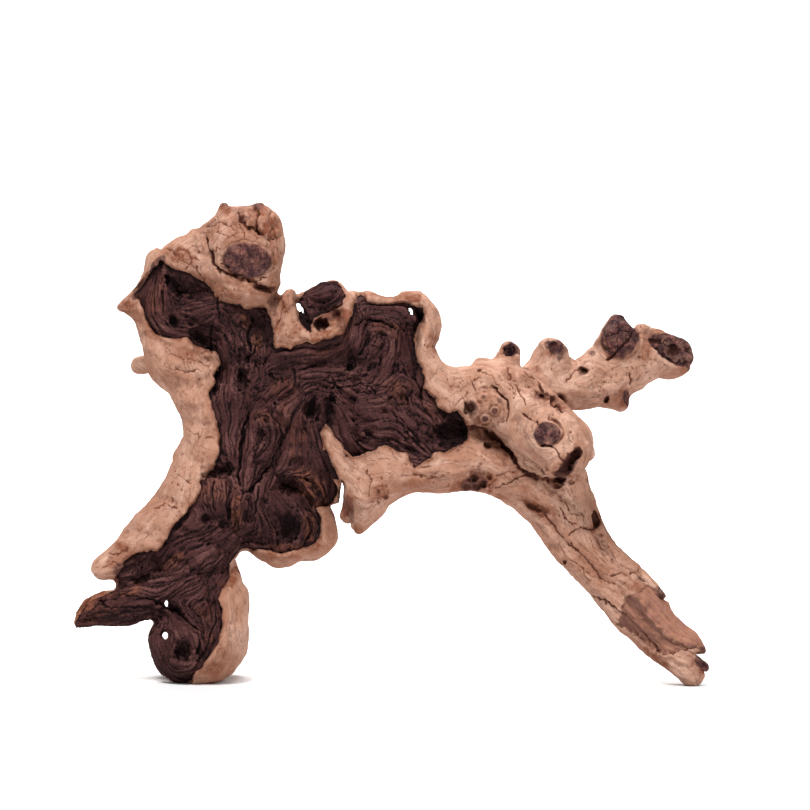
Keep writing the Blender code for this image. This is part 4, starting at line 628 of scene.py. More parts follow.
# How the heartwood's grain flows, as courses of single strands seen from the
# front: the x and the z of each point in turn.
FLOWS = [
    # the hollow of the neck
    (-139, 222, -137, 213, -132, 203, -123, 197.5, -114, 196.5),
    (-136.7, 230, -137.3, 221, -134.8, 210.5, -129.9, 201.3, -121.4, 197),
    (-131.8, 230, -134.2, 216.6, -131, 207.4, -125.5, 200.5),
    (-128.7, 233, -126.5, 226, -125, 216, -124.5, 207.4, -121.4, 201.3),
    (-122, 231, -112, 228, -104, 224.5, -99, 219), (-115, 219.7, -106.1, 219.7, -97.5, 218.6),
    (-116.5, 213, -107.9, 214.8, -97, 216), (-118, 209, -112, 206, -105, 209, -99, 212),
    (-119, 200, -111, 200.5, -104, 203), (-112, 195, -105, 194, -98, 191),
    (-90, 213, -84, 212.4, -78, 210.5), (-86, 208, -88, 201, -86, 194, -88, 187),
    (-98, 200, -96, 193, -97, 187), (-78, 209, -72, 209, -68.5, 205, -68, 198, -70, 191, -70, 184),
    (-82, 196, -81, 188, -83, 180), (-76, 203, -74, 197, -77, 190),
    # the plate, level below the pale bridge
    (-64, 187, -56, 187.4, -48, 190, -38, 190.6, -28, 193.4, -21, 199),
    (-66, 181, -56, 182, -44, 185, -33, 186, -24, 188.4),
    (-68, 176.6, -57, 178.4, -48, 181, -37, 181, -25, 182), (-50, 176.6, -40, 176.6, -28, 176),
    (-45, 172.6, -35, 172.6, -22.7, 170.8, -12.3, 173), (-50, 169.5, -44, 169, -36, 168.6),
    # the bend of strands beside the spur's hollow
    (-47, 172, -50, 171, -52.5, 167, -51, 163.6, -54.7, 159.6, -60.8, 157.8, -63, 155.6, -62, 150, -61.4,
     143), (-52, 175, -56, 171, -57.6, 166, -60, 162, -66, 160), (-60, 172, -64, 168, -68, 164, -71, 159),
    (-47, 166, -49, 160, -54, 155.5, -58.5, 152, -58.6, 146),
    # the arch over the spur's ridge
    (-48.6, 147, -48, 154, -44.1, 160.6, -38.4, 165.2, -32.7, 165.6, -26, 162.4, -22.7, 156),
    (-40.6, 146, -40, 153, -37, 160, -33.4, 163, -29.4, 159, -28, 151, -25.5, 143, -21, 134),
    (-24, 160, -25.5, 152, -22, 143, -17, 134),
    # the right of the plate
    (-15.4, 218, -16.6, 212, -15.8, 205.5, -18, 198, -18.6, 190), (-9, 213, 0, 212, 8, 212.6),
    (-12, 209, -3, 209.4, 6, 206.6, 11, 202),
    (-14.8, 205, -7.4, 204.4, -2.5, 202.6, 3.6, 200, 6.4, 195.6, 7.3, 189, 6, 181),
    (-1.3, 199, 2.4, 196, 3.6, 190, 2.6, 183), (-7, 199, -2, 194, -1.4, 188, -3, 181),
    (-7.4, 198, -11.5, 192, -14.5, 186, -15, 179), (10.6, 199, 10.6, 191, 10.4, 183, 12, 175),
    (-24, 195, -24.6, 187, -23, 179), (-3, 178, -5, 171, -10, 165.6),
    (-11.1, 167, -9.5, 163, -4.6, 163.4, 0.4, 167.4, 4.8, 172),
    (-16, 156, -8.6, 155.8, -2.5, 159.3, 2, 163.4), (-14, 160, -7, 159.4, -2, 162.8),
    (3.6, 172.4, 8.5, 171.8, 12.8, 167.4, 14.8, 160.7, 17, 156.4, 22, 152.4, 27, 147),
    (5.4, 167.4, 9.6, 166.6, 11.4, 161, 12.4, 156, 16, 150.6, 20, 145),
    (4, 163, 5.4, 157.4, 9, 152.6, 14, 147), (17.6, 175, 18.6, 166, 20.6, 160, 26, 155),
    (-20.9, 152.6, -13.5, 152, -4.4, 150.6, 2.4, 150, 7.9, 146, 14, 141.6, 21, 138),
    (-18, 146.6, -10, 146.6, -2, 145.4, 4.8, 143.4, 11, 138.8, 17, 135, 23, 131),
    (-17, 139.6, -8, 139, 0, 139.6, 7, 135, 12, 130.6),
    # the leg
    (-91, 180, -91.5, 170, -90.5, 159.9, -88.6, 151.2, -87.5, 142.6, -88, 132),
    (-86, 176, -86.4, 166, -84.7, 157, -84, 148.4, -84.9, 136.8, -85.6, 126),
    (-95, 168, -95, 158, -92.6, 146, -91.6, 135, -92.4, 124), (-76, 176, -77, 168, -78.6, 160, -80, 152),
    (-70, 176, -70, 168, -72.6, 159), (-79, 151.3, -75.5, 154.1, -72, 155, -67.4, 153.4, -63.4, 149.3, -60,
     144.7, -58.6, 140, -61, 134, -65, 126, -69.4, 119.5, -76, 112.6, -82, 107),
    (-79.9, 147.2, -81.3, 140.9, -82.4, 132.2, -83.2, 123, -84, 113),
    (-71.4, 150, -67, 148.4, -64, 144, -63.2, 139.5, -66, 133, -71, 126, -75.5, 118.5, -80.4, 111.6),
    (-75.8, 145, -77, 136.8, -78, 127, -80.6, 115), (-69, 142, -69.6, 135, -74, 127, -78, 118),
    (-57.6, 158, -56.6, 150, -55.2, 141, -55, 134, -58, 128, -63.4, 120, -69, 112),
    (-53.4, 153, -53, 145, -51.4, 137, -51, 130, -54, 124),
    (-50, 147, -49.4, 139, -48, 131, -45.4, 126, -42, 123.6),
    (-45.6, 146, -45, 138, -44, 131.4, -40.4, 126.4, -40.4, 122.4, -44.4, 118, -48.4, 114.4),
    (-41.5, 142, -40.6, 134, -37, 126, -34.6, 118, -33.4, 110),
    (-64, 116.4, -57.1, 117, -51.3, 113.2, -47, 107, -42, 102.4), (-44, 113, -41, 108, -39, 103),
    (-68, 108, -62, 106.6, -56, 103.4, -50, 99.6), (-106.6, 115, -107.2, 108, -106.6, 101),
    (-103, 116, -103.6, 107, -103, 98), (-98.2, 115, -99.3, 106.9, -98.8, 97),
    (-95, 114, -95.4, 105, -95, 95), (-88.6, 118, -88.2, 108, -87.8, 98, -87.6, 88),
    (-83.6, 104, -83, 96, -84, 87), (-76.6, 108, -77.6, 100, -75.4, 91, -72, 86, -72.6, 79),
    (-71.4, 110, -72.4, 100, -69, 92, -67.6, 84), (-66, 101, -66, 94, -67, 88),
    (-50.4, 97.4, -47, 93, -46.8, 85, -49.4, 78), (-44.8, 98, -41, 92.4, -41, 85, -44.8, 78),
    (-53, 99, -50.6, 93, -50.6, 86, -53, 79),
    # from the leg to the spike and the foot
    (-90, 88, -98, 85, -106.6, 79, -114, 74, -122, 68),
    (-78, 84.6, -89.3, 81, -100.9, 75.4, -110, 70.6, -119, 65),
    (-74, 79, -84, 77, -95, 71, -106, 66, -114, 61, -122, 57),
    (-104.9, 87, -113, 81.6, -121, 76, -128, 69),
    (-82, 72, -91.2, 66, -99, 60.4, -102, 53, -105.6, 46.6, -112, 44),
    (-111.7, 67, -118.6, 60.9, -124, 56.4, -133, 53.6),
    (-93, 60, -98.4, 52, -100.6, 45, -98.6, 38, -100, 29.5, -104.6, 21, -110, 15),
    (-128, 43.4, -139, 43, -152.8, 42.5, -163.8, 40.4, -172, 36.3),
    (-128, 47.6, -139.1, 48.4, -152.8, 48.6, -161.7, 49.4),
    (-132.3, 37, -141.9, 38, -152.8, 37, -163.1, 34.2), (-132, 55, -142, 55.6, -150, 55),
    (-128.4, 40, -126, 34.2, -122, 28), (-122, 40, -117, 33, -112, 27),
    (-111.7, 37, -107.4, 31.5, -104.4, 24.7, -105.6, 17),
    (-122.7, 21, -124, 12.8, -118.6, 6.4, -111.7, 8, -109, 13.7, -112, 21),
    (-126.8, 21, -129, 12.8, -123.4, 5, -112.6, 3.6, -105.4, 8.4, -100.4, 15.8, -97.4, 25, -97, 36),
    (-97, 55, -98.6, 48, -97.6, 42),
    # the dark knob
    (-50, 217, -46, 212, -40, 210.6, -34, 211, -28, 215), (-46, 220, -42, 216, -36, 215, -30, 219),
    (-50.4, 208, -48, 202, -45, 198),
    # the flake on the long root
    (140, 46, 150, 35, 160, 28, 172, 22), (134, 42, 143, 33, 153, 24, 166, 20),
]

# Knots that strands go round: (x, z, radius).
KNOT_RINGS = [
    (-80.2, 239, 14), (-80.2, 239, 19), (90, 141.5, 9), (90, 141.5, 14), (56.5, 156, 10.5),
    (130, 194.5, 12.5), (46, 156, 5), (-75, 249.6, 3.4), (-94.4, 206.2, 5), (-82.2, 206.2, 4),
    (-106.3, 41.8, 6), (-32.5, 172.4, 3.4), (-18.4, 164.6, 4), (-126.3, 26.7, 5), (-85, 106, 4),
    (-119, 222, 6), (-80, 93, 5), (-76, 163.5, 4), (-36.4, 202, 6), (7.9, 160.6, 3.4), (-5, 194, 3),
    (160, 187, 8), (130, 194.5, 9), (-72.6, 140, 4), (-116.5, 17, 7),
]

# The saw cuts at the forks: the node that grows beyond the cut, a point on it (x, z, y), the way
# that the node grows (x, z, y), and the blade's half width and half depth.
FORKS = [
    ("head", (-94, 214, 2), (-0.35, 0.94, 0), 52, 40),
    ("left_root", (-84, 128, 6), (-0.3, -0.95, 0), 61, 50),
    ("side_spike", (-148.75, 45.3, -12), (-0.849, -0.529, 0), 15.8, 22),
    ("drop_spur", (-8.7, 107, -12), (-0.167, -0.986, 0), 18.5, 30),
    ("knuckle", (43, 143, 0), (0.99, 0.12, 0), 46, 50),
    ("long_root", (90, 107.5, -3), (0.447, -0.894, 0), 26, 30),
    ("high_branch", (90, 165, 16), (0.76, 0.65, 0.3), 21, 25),
]
# How far a blade bites to either side of its cut, how far beyond the cut its node is looked for,
# and how many faces that node has at least.
BLADE_REACH = 2.5
BEYOND_CUT = 12.0
SMALLEST_PIECE = 400
SKIN = "grown skin"


# Places and shapes


def seen(x, z, y=0.0):
    """The real place, in mm, of a point seen from the front at (x, z) and at depth y."""
    across, up = x - VIEW_CENTRE_X, z - VIEW_CENTRE_Z
    reach = VIEW_DISTANCE * math.cos(VIEW_ELEVATION)
    rise = VIEW_DISTANCE * math.sin(VIEW_ELEVATION)
    along = (y + reach) / (reach + up * math.sin(VIEW_ELEVATION))
    height = VIEW_CENTRE_Z + rise + along * (up * math.cos(VIEW_ELEVATION) - rise)
    deep = y - MIDDLE[1] + 0.0 * height
    return np.stack([VIEW_CENTRE_X + along * across - MIDDLE[0], deep, height], -1)


def front_view(points):
    """Where real points, in mm, are seen from the front: x and z."""
    across = points[:, 0] - (VIEW_CENTRE_X - MIDDLE[0])
    deep = points[:, 1] + MIDDLE[1]
    up = points[:, 2] - VIEW_CENTRE_Z
    sine, cosine = math.sin(VIEW_ELEVATION), math.cos(VIEW_ELEVATION)
    scale = VIEW_DISTANCE / (deep * cosine - up * sine + VIEW_DISTANCE)
    return VIEW_CENTRE_X + across * scale, VIEW_CENTRE_Z + (deep * sine + up * cosine) * scale


def smoothstep(low, high, value):
    share = np.clip((value - low) / (high - low), 0.0, 1.0)
    return share * share * (3.0 - 2.0 * share)


def unit(vectors):
    length = np.sqrt((vectors * vectors).sum(-1, keepdims=True))
    return vectors / np.maximum(length, 1e-9)


def as_points(numbers):
    """Points (x, z) from their numbers in turn."""
    return list(zip(numbers[::2], numbers[1::2]))


def between(base, share, value_at):
    """Linear interpolation from the corners of the cell that each point lies in."""
    total = 0.0
    for corner in np.ndindex(*(2,) * base.shape[1]):
        weight = np.ones(len(base), np.float32)
        for side, up in enumerate(corner):
            weight *= share[:, side] if up else 1.0 - share[:, side]
        total = total + (value_at(base + corner).T * weight).T
    return total


class Grid:
    """Values on a regular block of points, in mm."""

    def __init__(self, low, high, pitch, value=0.0, parts=()):
        self.low = np.array(low, np.float32)
        self.pitch = pitch
        self.shape = tuple(np.ceil((np.array(high) - low) / pitch).astype(int) + 1)
        self.values = np.full(self.shape + tuple(parts), value, np.float32)

    def block(self, low, high):
        """The part of the block from low to high: its slices and its coordinates."""
        first = np.floor((np.array(low) - self.low) / self.pitch).astype(int)
        last = np.ceil((np.array(high) - self.low) / self.pitch).astype(int) + 1
        first = np.clip(first, 0, self.shape)
        last = np.clip(last, first, self.shape)
        place = tuple(slice(a, b) for a, b in zip(first, last))
        axes = [base + self.pitch * np.arange(a, b, dtype=np.float32)
                for base, a, b in zip(self.low, first, last)]
        return place, axes

    def nearest(self, points):
        index = ((points - self.low) / self.pitch + 0.5).astype(np.int32)
        index = np.clip(index, 0, np.array(self.shape) - 1)
        return self.values[tuple(index.T)]

    def sample(self, points):
        """The values between the grid's points, by linear interpolation."""
        place = np.clip((points - self.low) / self.pitch, 0.0, np.array(self.shape) - 1.001)
        base = place.astype(np.int32)
        return between(base, (place - base).astype(np.float32), lambda index: self.values[tuple(index.T)])


def grid_of(values, low, pitch):
    """A grid that holds values made elsewhere."""
    grid = Grid(low, low, pitch)
    grid.values = values
    grid.shape = values.shape[:len(low)]
    return grid


def stretch(x, z, start, end):
    """How far along a straight stretch points lie, as a share, and the square of how far off it."""
    run, rise = end[0] - start[0], end[1] - start[1]
    right, up = x - start[0], z - start[1]
    share = np.clip((right * run + up * rise) / (run * run + rise * rise), 0.0, 1.0)
    return share, (right - run * share)**2 + (up - rise * share)**2


def course_distance(x, z, course):
    """How far each point is from a course of points."""
    nearest = np.full(x.shape, np.inf, np.float32)
    for start, end in zip(course, course[1:]):
        nearest = np.minimum(nearest, stretch(x, z, start, end)[1])
    return np.sqrt(nearest)


def inside_distance(x, z, outline):
    """How far each point is inside an outline, in mm. It is negative outside."""
    inside = np.zeros(x.shape, bool)
    closed = outline + outline[:1]
    for (ax, az), (bx, bz) in zip(closed, closed[1:]):
        if az != bz:
            inside ^= ((az > z) != (bz > z)) & (x < ax + (z - az) * (bx - ax) / (bz - az))
    apart = course_distance(x, z, closed)
    return np.where(inside, apart, -apart)


def oval(x, z, spot):
    """Distance from an oval's centre as a share of its radius, (x, z, half sizes, lean)."""
    centre_x, centre_z, half_width, half_height, lean = spot
    turn = math.radians(lean)
    right, up = x - centre_x, z - centre_z
    along = right * math.cos(turn) + up * math.sin(turn)
    across = up * math.cos(turn) - right * math.sin(turn)
    return np.hypot(along / half_width, across / half_height)


# Noise


class Noise:
    """A seeded block of smooth noise, with a mean of 0 and a spread of 1, that repeats."""

    def __init__(self, seed):
        random = np.random.default_rng(seed)
        white = random.standard_normal((NOISE_CELLS,) * 3).astype(np.float32)
        wave = 2 * math.pi * np.fft.fftfreq(NOISE_CELLS)
        half = 2 * math.pi * np.fft.rfftfreq(NOISE_CELLS)
        square = wave[:, None, None]**2 + wave[None, :, None]**2 + half[None, None, :]**2
        smooth = np.exp(-0.5 * square * NOISE_SIGMA**2) * (1.0 - np.exp(-3.0 * square * NOISE_SIGMA**2))
        block = np.fft.irfftn(np.fft.rfftn(white) * smooth, s=white.shape)
        self.block = (block / block.std()).astype(np.float32)

    def cells(self, index):
        return self.block[tuple((index & (NOISE_CELLS - 1)).T)]

    def at(self, points, size, shift=0.0):
        """The noise at points, with lumps of about the given size, to the nearest cell."""
        place = points * (CELLS_TO_A_LUMP / size) + shift * NOISE_SHIFT
        return self.cells(np.floor(place).astype(np.int32))

    def smooth(self, points, size, shift=0.0):
        """The same, without steps."""
        place = points * (CELLS_TO_A_LUMP / size) + shift * NOISE_SHIFT
        base = np.floor(place)
        return between(base.astype(np.int32), (place - base).astype(np.float32), self.cells)


# The field of distances


def run_swellings(stations):
    """The centres and half sizes, in mm, of a run's swellings, close enough to look smooth."""
    rows = [stations[0]]
    for start, end in zip(stations, stations[1:]):
        gap = math.dist((start[0], start[1], start[3]), (end[0], end[1], end[3]))
        steps = max(1, math.ceil(gap / (0.3 * min(start[2], end[2]))))
        for step in range(1, steps + 1):
            rows.append(tuple(a + (b - a) * step / steps for a, b in zip(start, end)))
    rows = np.array(rows)
    x, z, radius, y, half_depth = rows.T
    return seen(x, z, y), np.stack([radius, half_depth, radius], -1)


def swelling_distance(axes, centre, radii):
    parts = [((axis - c) / r)**2 for axis, c, r in zip(axes, centre, radii)]
    far = parts[0][:, None, None] + parts[1][:, None] + parts[2]
    parts = [part / r**2 for part, r in zip(parts, radii)]
    steep = parts[0][:, None, None] + parts[1][:, None] + parts[2]
    far = np.sqrt(np.maximum(far, 1e-6))
    return far * (far - 1.0) / np.sqrt(np.maximum(steep, 1e-9))


def fused(first, second, width):
    """Two fields of distance as one, with the crease between them healed."""
    blend = np.maximum(width - np.abs(first - second), 0.0) / width
    lower = np.minimum(first, second)
    return lower - np.where(lower < FAR - width, 0.25 * width * blend * blend, 0.0)


def finer(field):
    """The same field with points twice as close, on smooth curves between the old ones."""
    values = field.values
    for axis in range(3):
        values = np.moveaxis(values, axis, 0)
        closer = np.empty((2 * len(values) - 1,) + values.shape[1:], np.float32)
        closer[::2] = values
        halfway = closer[1::2]
        halfway[:] = 0.5 * (values[1:] + values[:-1])
        halfway[1:-1] += (values[1:-2] + values[2:-1] - values[:-3] - values[3:]) / 16
        values = np.moveaxis(closer, 0, axis)
    return grid_of(np.ascontiguousarray(values), field.low, field.pitch / 2)


def grown_field(pitch, heal):
    field = Grid(LOW, HIGH, pitch, FAR)
    for stations in RUNS.values():
        centres, radii = run_swellings(stations)
        place, _ = field.block((centres - radii).min(0) - FAR, (centres + radii).max(0) + FAR)
        start = [side.start for side in place]
        run = np.full(field.values[place].shape, FAR, np.float32)
        for centre, size in zip(centres, radii):
            within, axes = field.block(centre - size - FAR, centre + size + FAR)
            local = tuple(slice(side.start - base, side.stop - base) for side, base in zip(within, start))
            run[local] = np.minimum(run[local], swelling_distance(axes, centre, size))
        field.values[place] = fused(field.values[place], run, heal)
    return field


# Features drawn in the front view


def view_raster():
    """The x and the z of each point that features are drawn at."""
    shape = Grid(VIEW_LOW, VIEW_HIGH, VIEW_PITCH).shape
    axes = [low + VIEW_PITCH * np.arange(count, dtype=np.float32) for low, count in zip(VIEW_LOW, shape)]
    return np.meshgrid(*axes, indexing="ij")


def raster_noise(wood, x, z, size, shift):
    flat = np.stack([x.ravel(), np.full(x.size, 3.0 * shift, np.float32), z.ravel()], -1)
    return wood.smooth(flat, size, shift).reshape(x.shape)


def course_side(x, z, course):
    """How far each point is to the right of a course, and how far it is from the course's ends."""
    nearest = np.full(x.shape, np.inf, np.float32)
    side = np.zeros(x.shape, np.float32)
    along = np.zeros(x.shape, np.float32)
    passed = 0.0
    for start, end in zip(course, course[1:]):
        share, square = stretch(x, z, start, end)
        right = np.sign((x - start[0]) * (end[1] - start[1]) - (z - start[1]) * (end[0] - start[0]))
        closer = square < nearest
        nearest = np.where(closer, square, nearest)
        side = np.where(closer, right * np.sqrt(square), side)
        along = np.where(closer, passed + share * math.dist(start, end), along)
        passed += math.dist(start, end)
    return side, np.minimum(along, passed - along)


def raster_part(points, reach):
    """Slices of the raster round some points (x, z)."""
    sides = [(min(side) - reach, max(side) + reach) for side in zip(*points)]
    return tuple(slice(max(0, int((low - base) / VIEW_PITCH)), max(0, int((high - base) / VIEW_PITCH) + 2))
                 for (low, high), base in zip(sides, VIEW_LOW))


def drawn_features(wood, form):
    """The relief and the colours of the front and the back, each as a picture of the view."""
    x, z = view_raster()
    broad = raster_noise(wood, x, z, 26.0, 1)
    middling = raster_noise(wood, x, z, 7.0, 2)
    ragged = raster_noise(wood, x, z, 2.6, 3)
    drawn = {}

    def spots(rows, reach, loose):
        """Each oval, its part of the raster, and how far out the points there lie, loosely."""
        for row in rows:
            place = raster_part([row[:2]], reach * max(row[2:4]))
            yield row, place, oval(x[place], z[place], row[:5]) + loose[place]

    def wavering(numbers, reach, across, up):
        """A course, its part of the raster, and the points there, moved so that the course wavers."""
        course = as_points(numbers)
        place = raster_part(course, reach)
        return course, place, (x[place] + across * middling[place], z[place] + up * ragged[place])

    def windows(outlines):
        return np.maximum.reduce([inside_distance(x, z, as_points(row)) for row in outlines]).clip(-FAR)

    def pitted(rows):
        depth = np.zeros(x.shape, np.float32)
        for (*_, deep, edge), place, apart in spots(rows, 1.8, 0.10 * (middling + ragged)):
            bowl = deep * (1.0 - smoothstep(0.55 * edge, 1.55 - 0.45 * edge, apart))
            depth[place] = np.maximum(depth[place], bowl) + 0.35 * np.minimum(depth[place], bowl)
        return depth

    inside = windows(HEART_WINDOWS)
    torn = 0.25 + 0.75 * smoothstep(0.3, 1.6, broad)
    inside += 0.28 * middling + torn * (0.25 * middling + 0.30 * ragged)
    drawn["inside"] = inside
    ledge = form.ledge_depth / MM + 0.7 * broad + 1.1 * np.exp(-np.maximum(inside, 0.0) / 3.0)
    relief = np.maximum(ledge, 0.8) * smoothstep(-0.3, 0.8, inside)

    drawn["flake"] = inside_distance(x, z, as_points(FLAKE)) + 0.4 * middling + 0.3 * ragged
    relief += 1.5 * smoothstep(-0.3, 0.8, drawn["flake"])

    drawn["pits"] = pitted(FRONT_PITS)
    relief += drawn["pits"]
    for row, place, apart in spots(SCARS, 1.6, 0.05 * middling):
        boss, groove, ring = row[5:]
        width = 0.75 / min(row[2:4])
        relief[place] -= boss * (1.0 - smoothstep(0.5, 1.0, apart))
        relief[place] += groove * np.exp(-(((apart - 1.04) / width)**2))
        if ring:
            relief[place] += 0.5 * groove * np.exp(-(((apart - ring) / width)**2))
    for row, place, apart in spots(SWELLS, 1.8, 0.12 * middling):
        relief[place] -= row[5] * (1.0 - smoothstep(0.25, 1.35, apart))
    for half_width, depth, *numbers in FOLDS:
        course, place, points = wavering(numbers, 3 * half_width, 0.8, 0.5)
        relief[place] += depth * np.exp(-((course_distance(*points, course) / (1.5 * half_width))**2))
    for depth, reach, *numbers in LIPS:
        course, place, points = wavering(numbers, 3 * reach, 0.4, 0.4)
        apart, along = course_side(*points, course)
        share = smoothstep(-0.5, 0.7, apart) * np.exp(-np.maximum(apart, 0.0) / reach)
        relief[place] += depth * share * smoothstep(0.0, 3.0, along)
    drawn["relief"] = relief

    cracks = np.zeros(x.shape, np.float32)
    for half_width, depth, *numbers in CRACKS:
        course, place, points = wavering(numbers, 4.0, 0.6, 0.5)
        split = depth * np.exp(-((course_distance(*points, course) / (1.1 * half_width))**2))
        cracks[place] = np.maximum(cracks[place], split)
    random = np.random.default_rng(form.seed + 5)
    for spot_x, spot_z, half_width, half_height, count, radius in PORES:
        for _ in range(round(0.6 * count)):
            right, up = random.normal(0.0, 0.5, 2)
            size = radius * random.uniform(0.6, 1.3)
            pore = (spot_x + right * half_width, spot_z + up * half_height,
                    size, size * random.uniform(0.8, 1.9), random.uniform(-40, 40))
            place = raster_part([pore[:2]], 3 * size)
            cracks[place] = np.maximum(cracks[place], 0.75 * np.exp(-oval(x[place], z[place], pore)**2))
    drawn["cracks"] = cracks

    for name, rows, loose, inner, outer in (
            ("stain", STAINS_AND_SHADOWS, 1.0, 0.5, 1.35), ("rust", RUST, 1.0, 0.4, 1.3),
            ("dark", DARK_PATCHES, 0.14, 0.92, 1.04)):
        total = np.zeros(x.shape, np.float32)
        for row, place, apart in spots(rows, 1.7, loose * (0.16 * middling + 0.08 * ragged)):
            total[place] = np.maximum(total[place], row[5] * (1.0 - smoothstep(inner, outer, apart)))
        drawn[name] = total
    for strength, *outline in DARK_SHAPES:
        apart = inside_distance(x, z, as_points(outline)) + 0.2 * middling + 0.15 * ragged
        drawn["dark"] = np.maximum(drawn["dark"], strength * smoothstep(-0.3, 0.4, apart))

    rear = windows(REAR_WINDOWS) + 2.2 * raster_noise(wood, x, z, 14.0, 4) + 0.8 * middling + 0.4 * ragged
    drawn["rear inside"] = rear
    ledge = 1.9 + 0.5 * broad + np.exp(-np.maximum(rear, 0.0) / 3.0)
    drawn["rear relief"] = ledge * smoothstep(-0.3, 0.8, rear) + pitted(REAR_PITS)
    return {name: grid_of(values.astype(np.float32), VIEW_LOW, VIEW_PITCH)
            for name, values in drawn.items()}


def skin_normals(field):
    """A coarser copy of the field, and the outward directions round the skin."""
    step = max(1, round(2.6 / field.pitch))
    coarse = grid_of(field.values[::step, ::step, ::step].copy(), LOW, field.pitch * step)
    slopes = np.stack(np.gradient(coarse.values), -1)
    for axis in range(3):
        slopes = (np.roll(slopes, 1, axis) + 2 * slopes + np.roll(slopes, -1, axis)) / 4
    return coarse, grid_of(unit(slopes).astype(np.float32), LOW, coarse.pitch)


def facing(normals, points):
    """How far each point belongs to the front and to the back."""
    deep = normals.sample(points)[:, 1]
    return smoothstep(0.02, 0.42, -deep), smoothstep(0.02, 0.42, deep)


def carve_field(field, normals, drawn):
    """Sinks ledges, hollows and scars into the field, then bores the holes, the cleft and the notches."""
    cells = np.nonzero((field.values < 1.9) & (field.values > 0.1 - FAR))
    shallow = field.values[cells] > -3.4
    index = np.stack(cells, -1).astype(np.int32)
    for deep in (False, True):
        chosen = index[shallow != deep]
        for rows in np.array_split(chosen, max(1, len(chosen) // CELLS_AT_ONCE)):
            points = field.low + np.float32(field.pitch) * rows
            view = np.stack(front_view(points), -1).astype(np.float32)
            if deep:
                depth = np.maximum(drawn["relief"].nearest(view), drawn["rear relief"].nearest(view))
                reached = depth > 2.6
                rows, points, view = rows[reached], points[reached], view[reached]
            front, rear = facing(normals, points)
            sink = front * drawn["relief"].sample(view) + rear * drawn["rear relief"].sample(view)
            field.values[tuple(rows.T)] += sink
    for hole in THROUGH_HOLES:
        bore(field, [hole[:2]], hole[3] + 9, lambda x, z: hole[2] * (oval(x, z, hole) - 1.0))
    for outline in map(as_points, (CLEFT, *NOTCHES)):
        bore(field, outline, 8, lambda x, z: -inside_distance(x, z, outline))


def bore(field, points, margin, distance):
    """Takes out what lies inside a shape in the front view, right through the root."""
    (low_x, high_x), (low_z, high_z) = ((min(side) - margin, max(side) + margin) for side in zip(*points))
    place, axes = field.block((low_x, LOW[1], low_z), (high_x, HIGH[1], high_z))
    block = field.values[place]
    view = front_view(np.stack(np.meshgrid(*axes, indexing="ij"), -1).reshape(-1, 3))
    field.values[place] = -fused(-block, distance(*view).reshape(block.shape), 1.2)


# The flow of the grain


def products(directions):
    """The six products of each direction with itself, which are the same for its opposite."""
    dx, dy, dz = directions.T
    return np.stack([dx * dx, dy * dy, dz * dz, dx * dy, dx * dz, dy * dz], -1).astype(np.float32)


def as_matrices(six):
    xx, yy, zz, xy, xz, yz = six.T
    return np.stack([xx, xy, xz, xy, yy, yz, xz, yz, zz], -1).reshape(-1, 3, 3)


def spread_grain(tensor, spot, direction, spread, strength):
    place, axes = tensor.block(spot - 2.2 * spread, spot + 2.2 * spread)
    squares = [(axis - middle)**2 for axis, middle in zip(axes, spot)]
    apart = squares[0][:, None, None] + squares[1][:, None] + squares[2]
    weight = strength * np.exp(-0.5 * apart / spread**2)
    tensor.values[place] += weight[..., None] * products(direction)


def front_surface(coarse, x, z):
    """The depth y at which a line of sight first meets the skin."""
    depths = np.arange(-56.0, 56.0, 1.0)
    along = coarse.sample(seen(x, z, depths + MIDDLE[1]).astype(np.float32))
    met = np.nonzero(along < 0.5)[0]
    return depths[met[0]] + MIDDLE[1] if len(met) else 0.0


def add_course(tensor, coarse, course, spread, strength):
    for start, end in zip(course, course[1:]):
        gap = math.dist(start, end)
        steps = max(1, round(gap / 2.5))
        direction = unit(np.array([end[0] - start[0], 0.0, end[1] - start[1]]))
        for step in range(steps):
            share = (step + 0.5) / steps
            x = start[0] + (end[0] - start[0]) * share
            z = start[1] + (end[1] - start[1]) * share
            y = front_surface(coarse, x, z)
            spread_grain(tensor, seen(x, z, y + 2.0), direction, spread, strength)


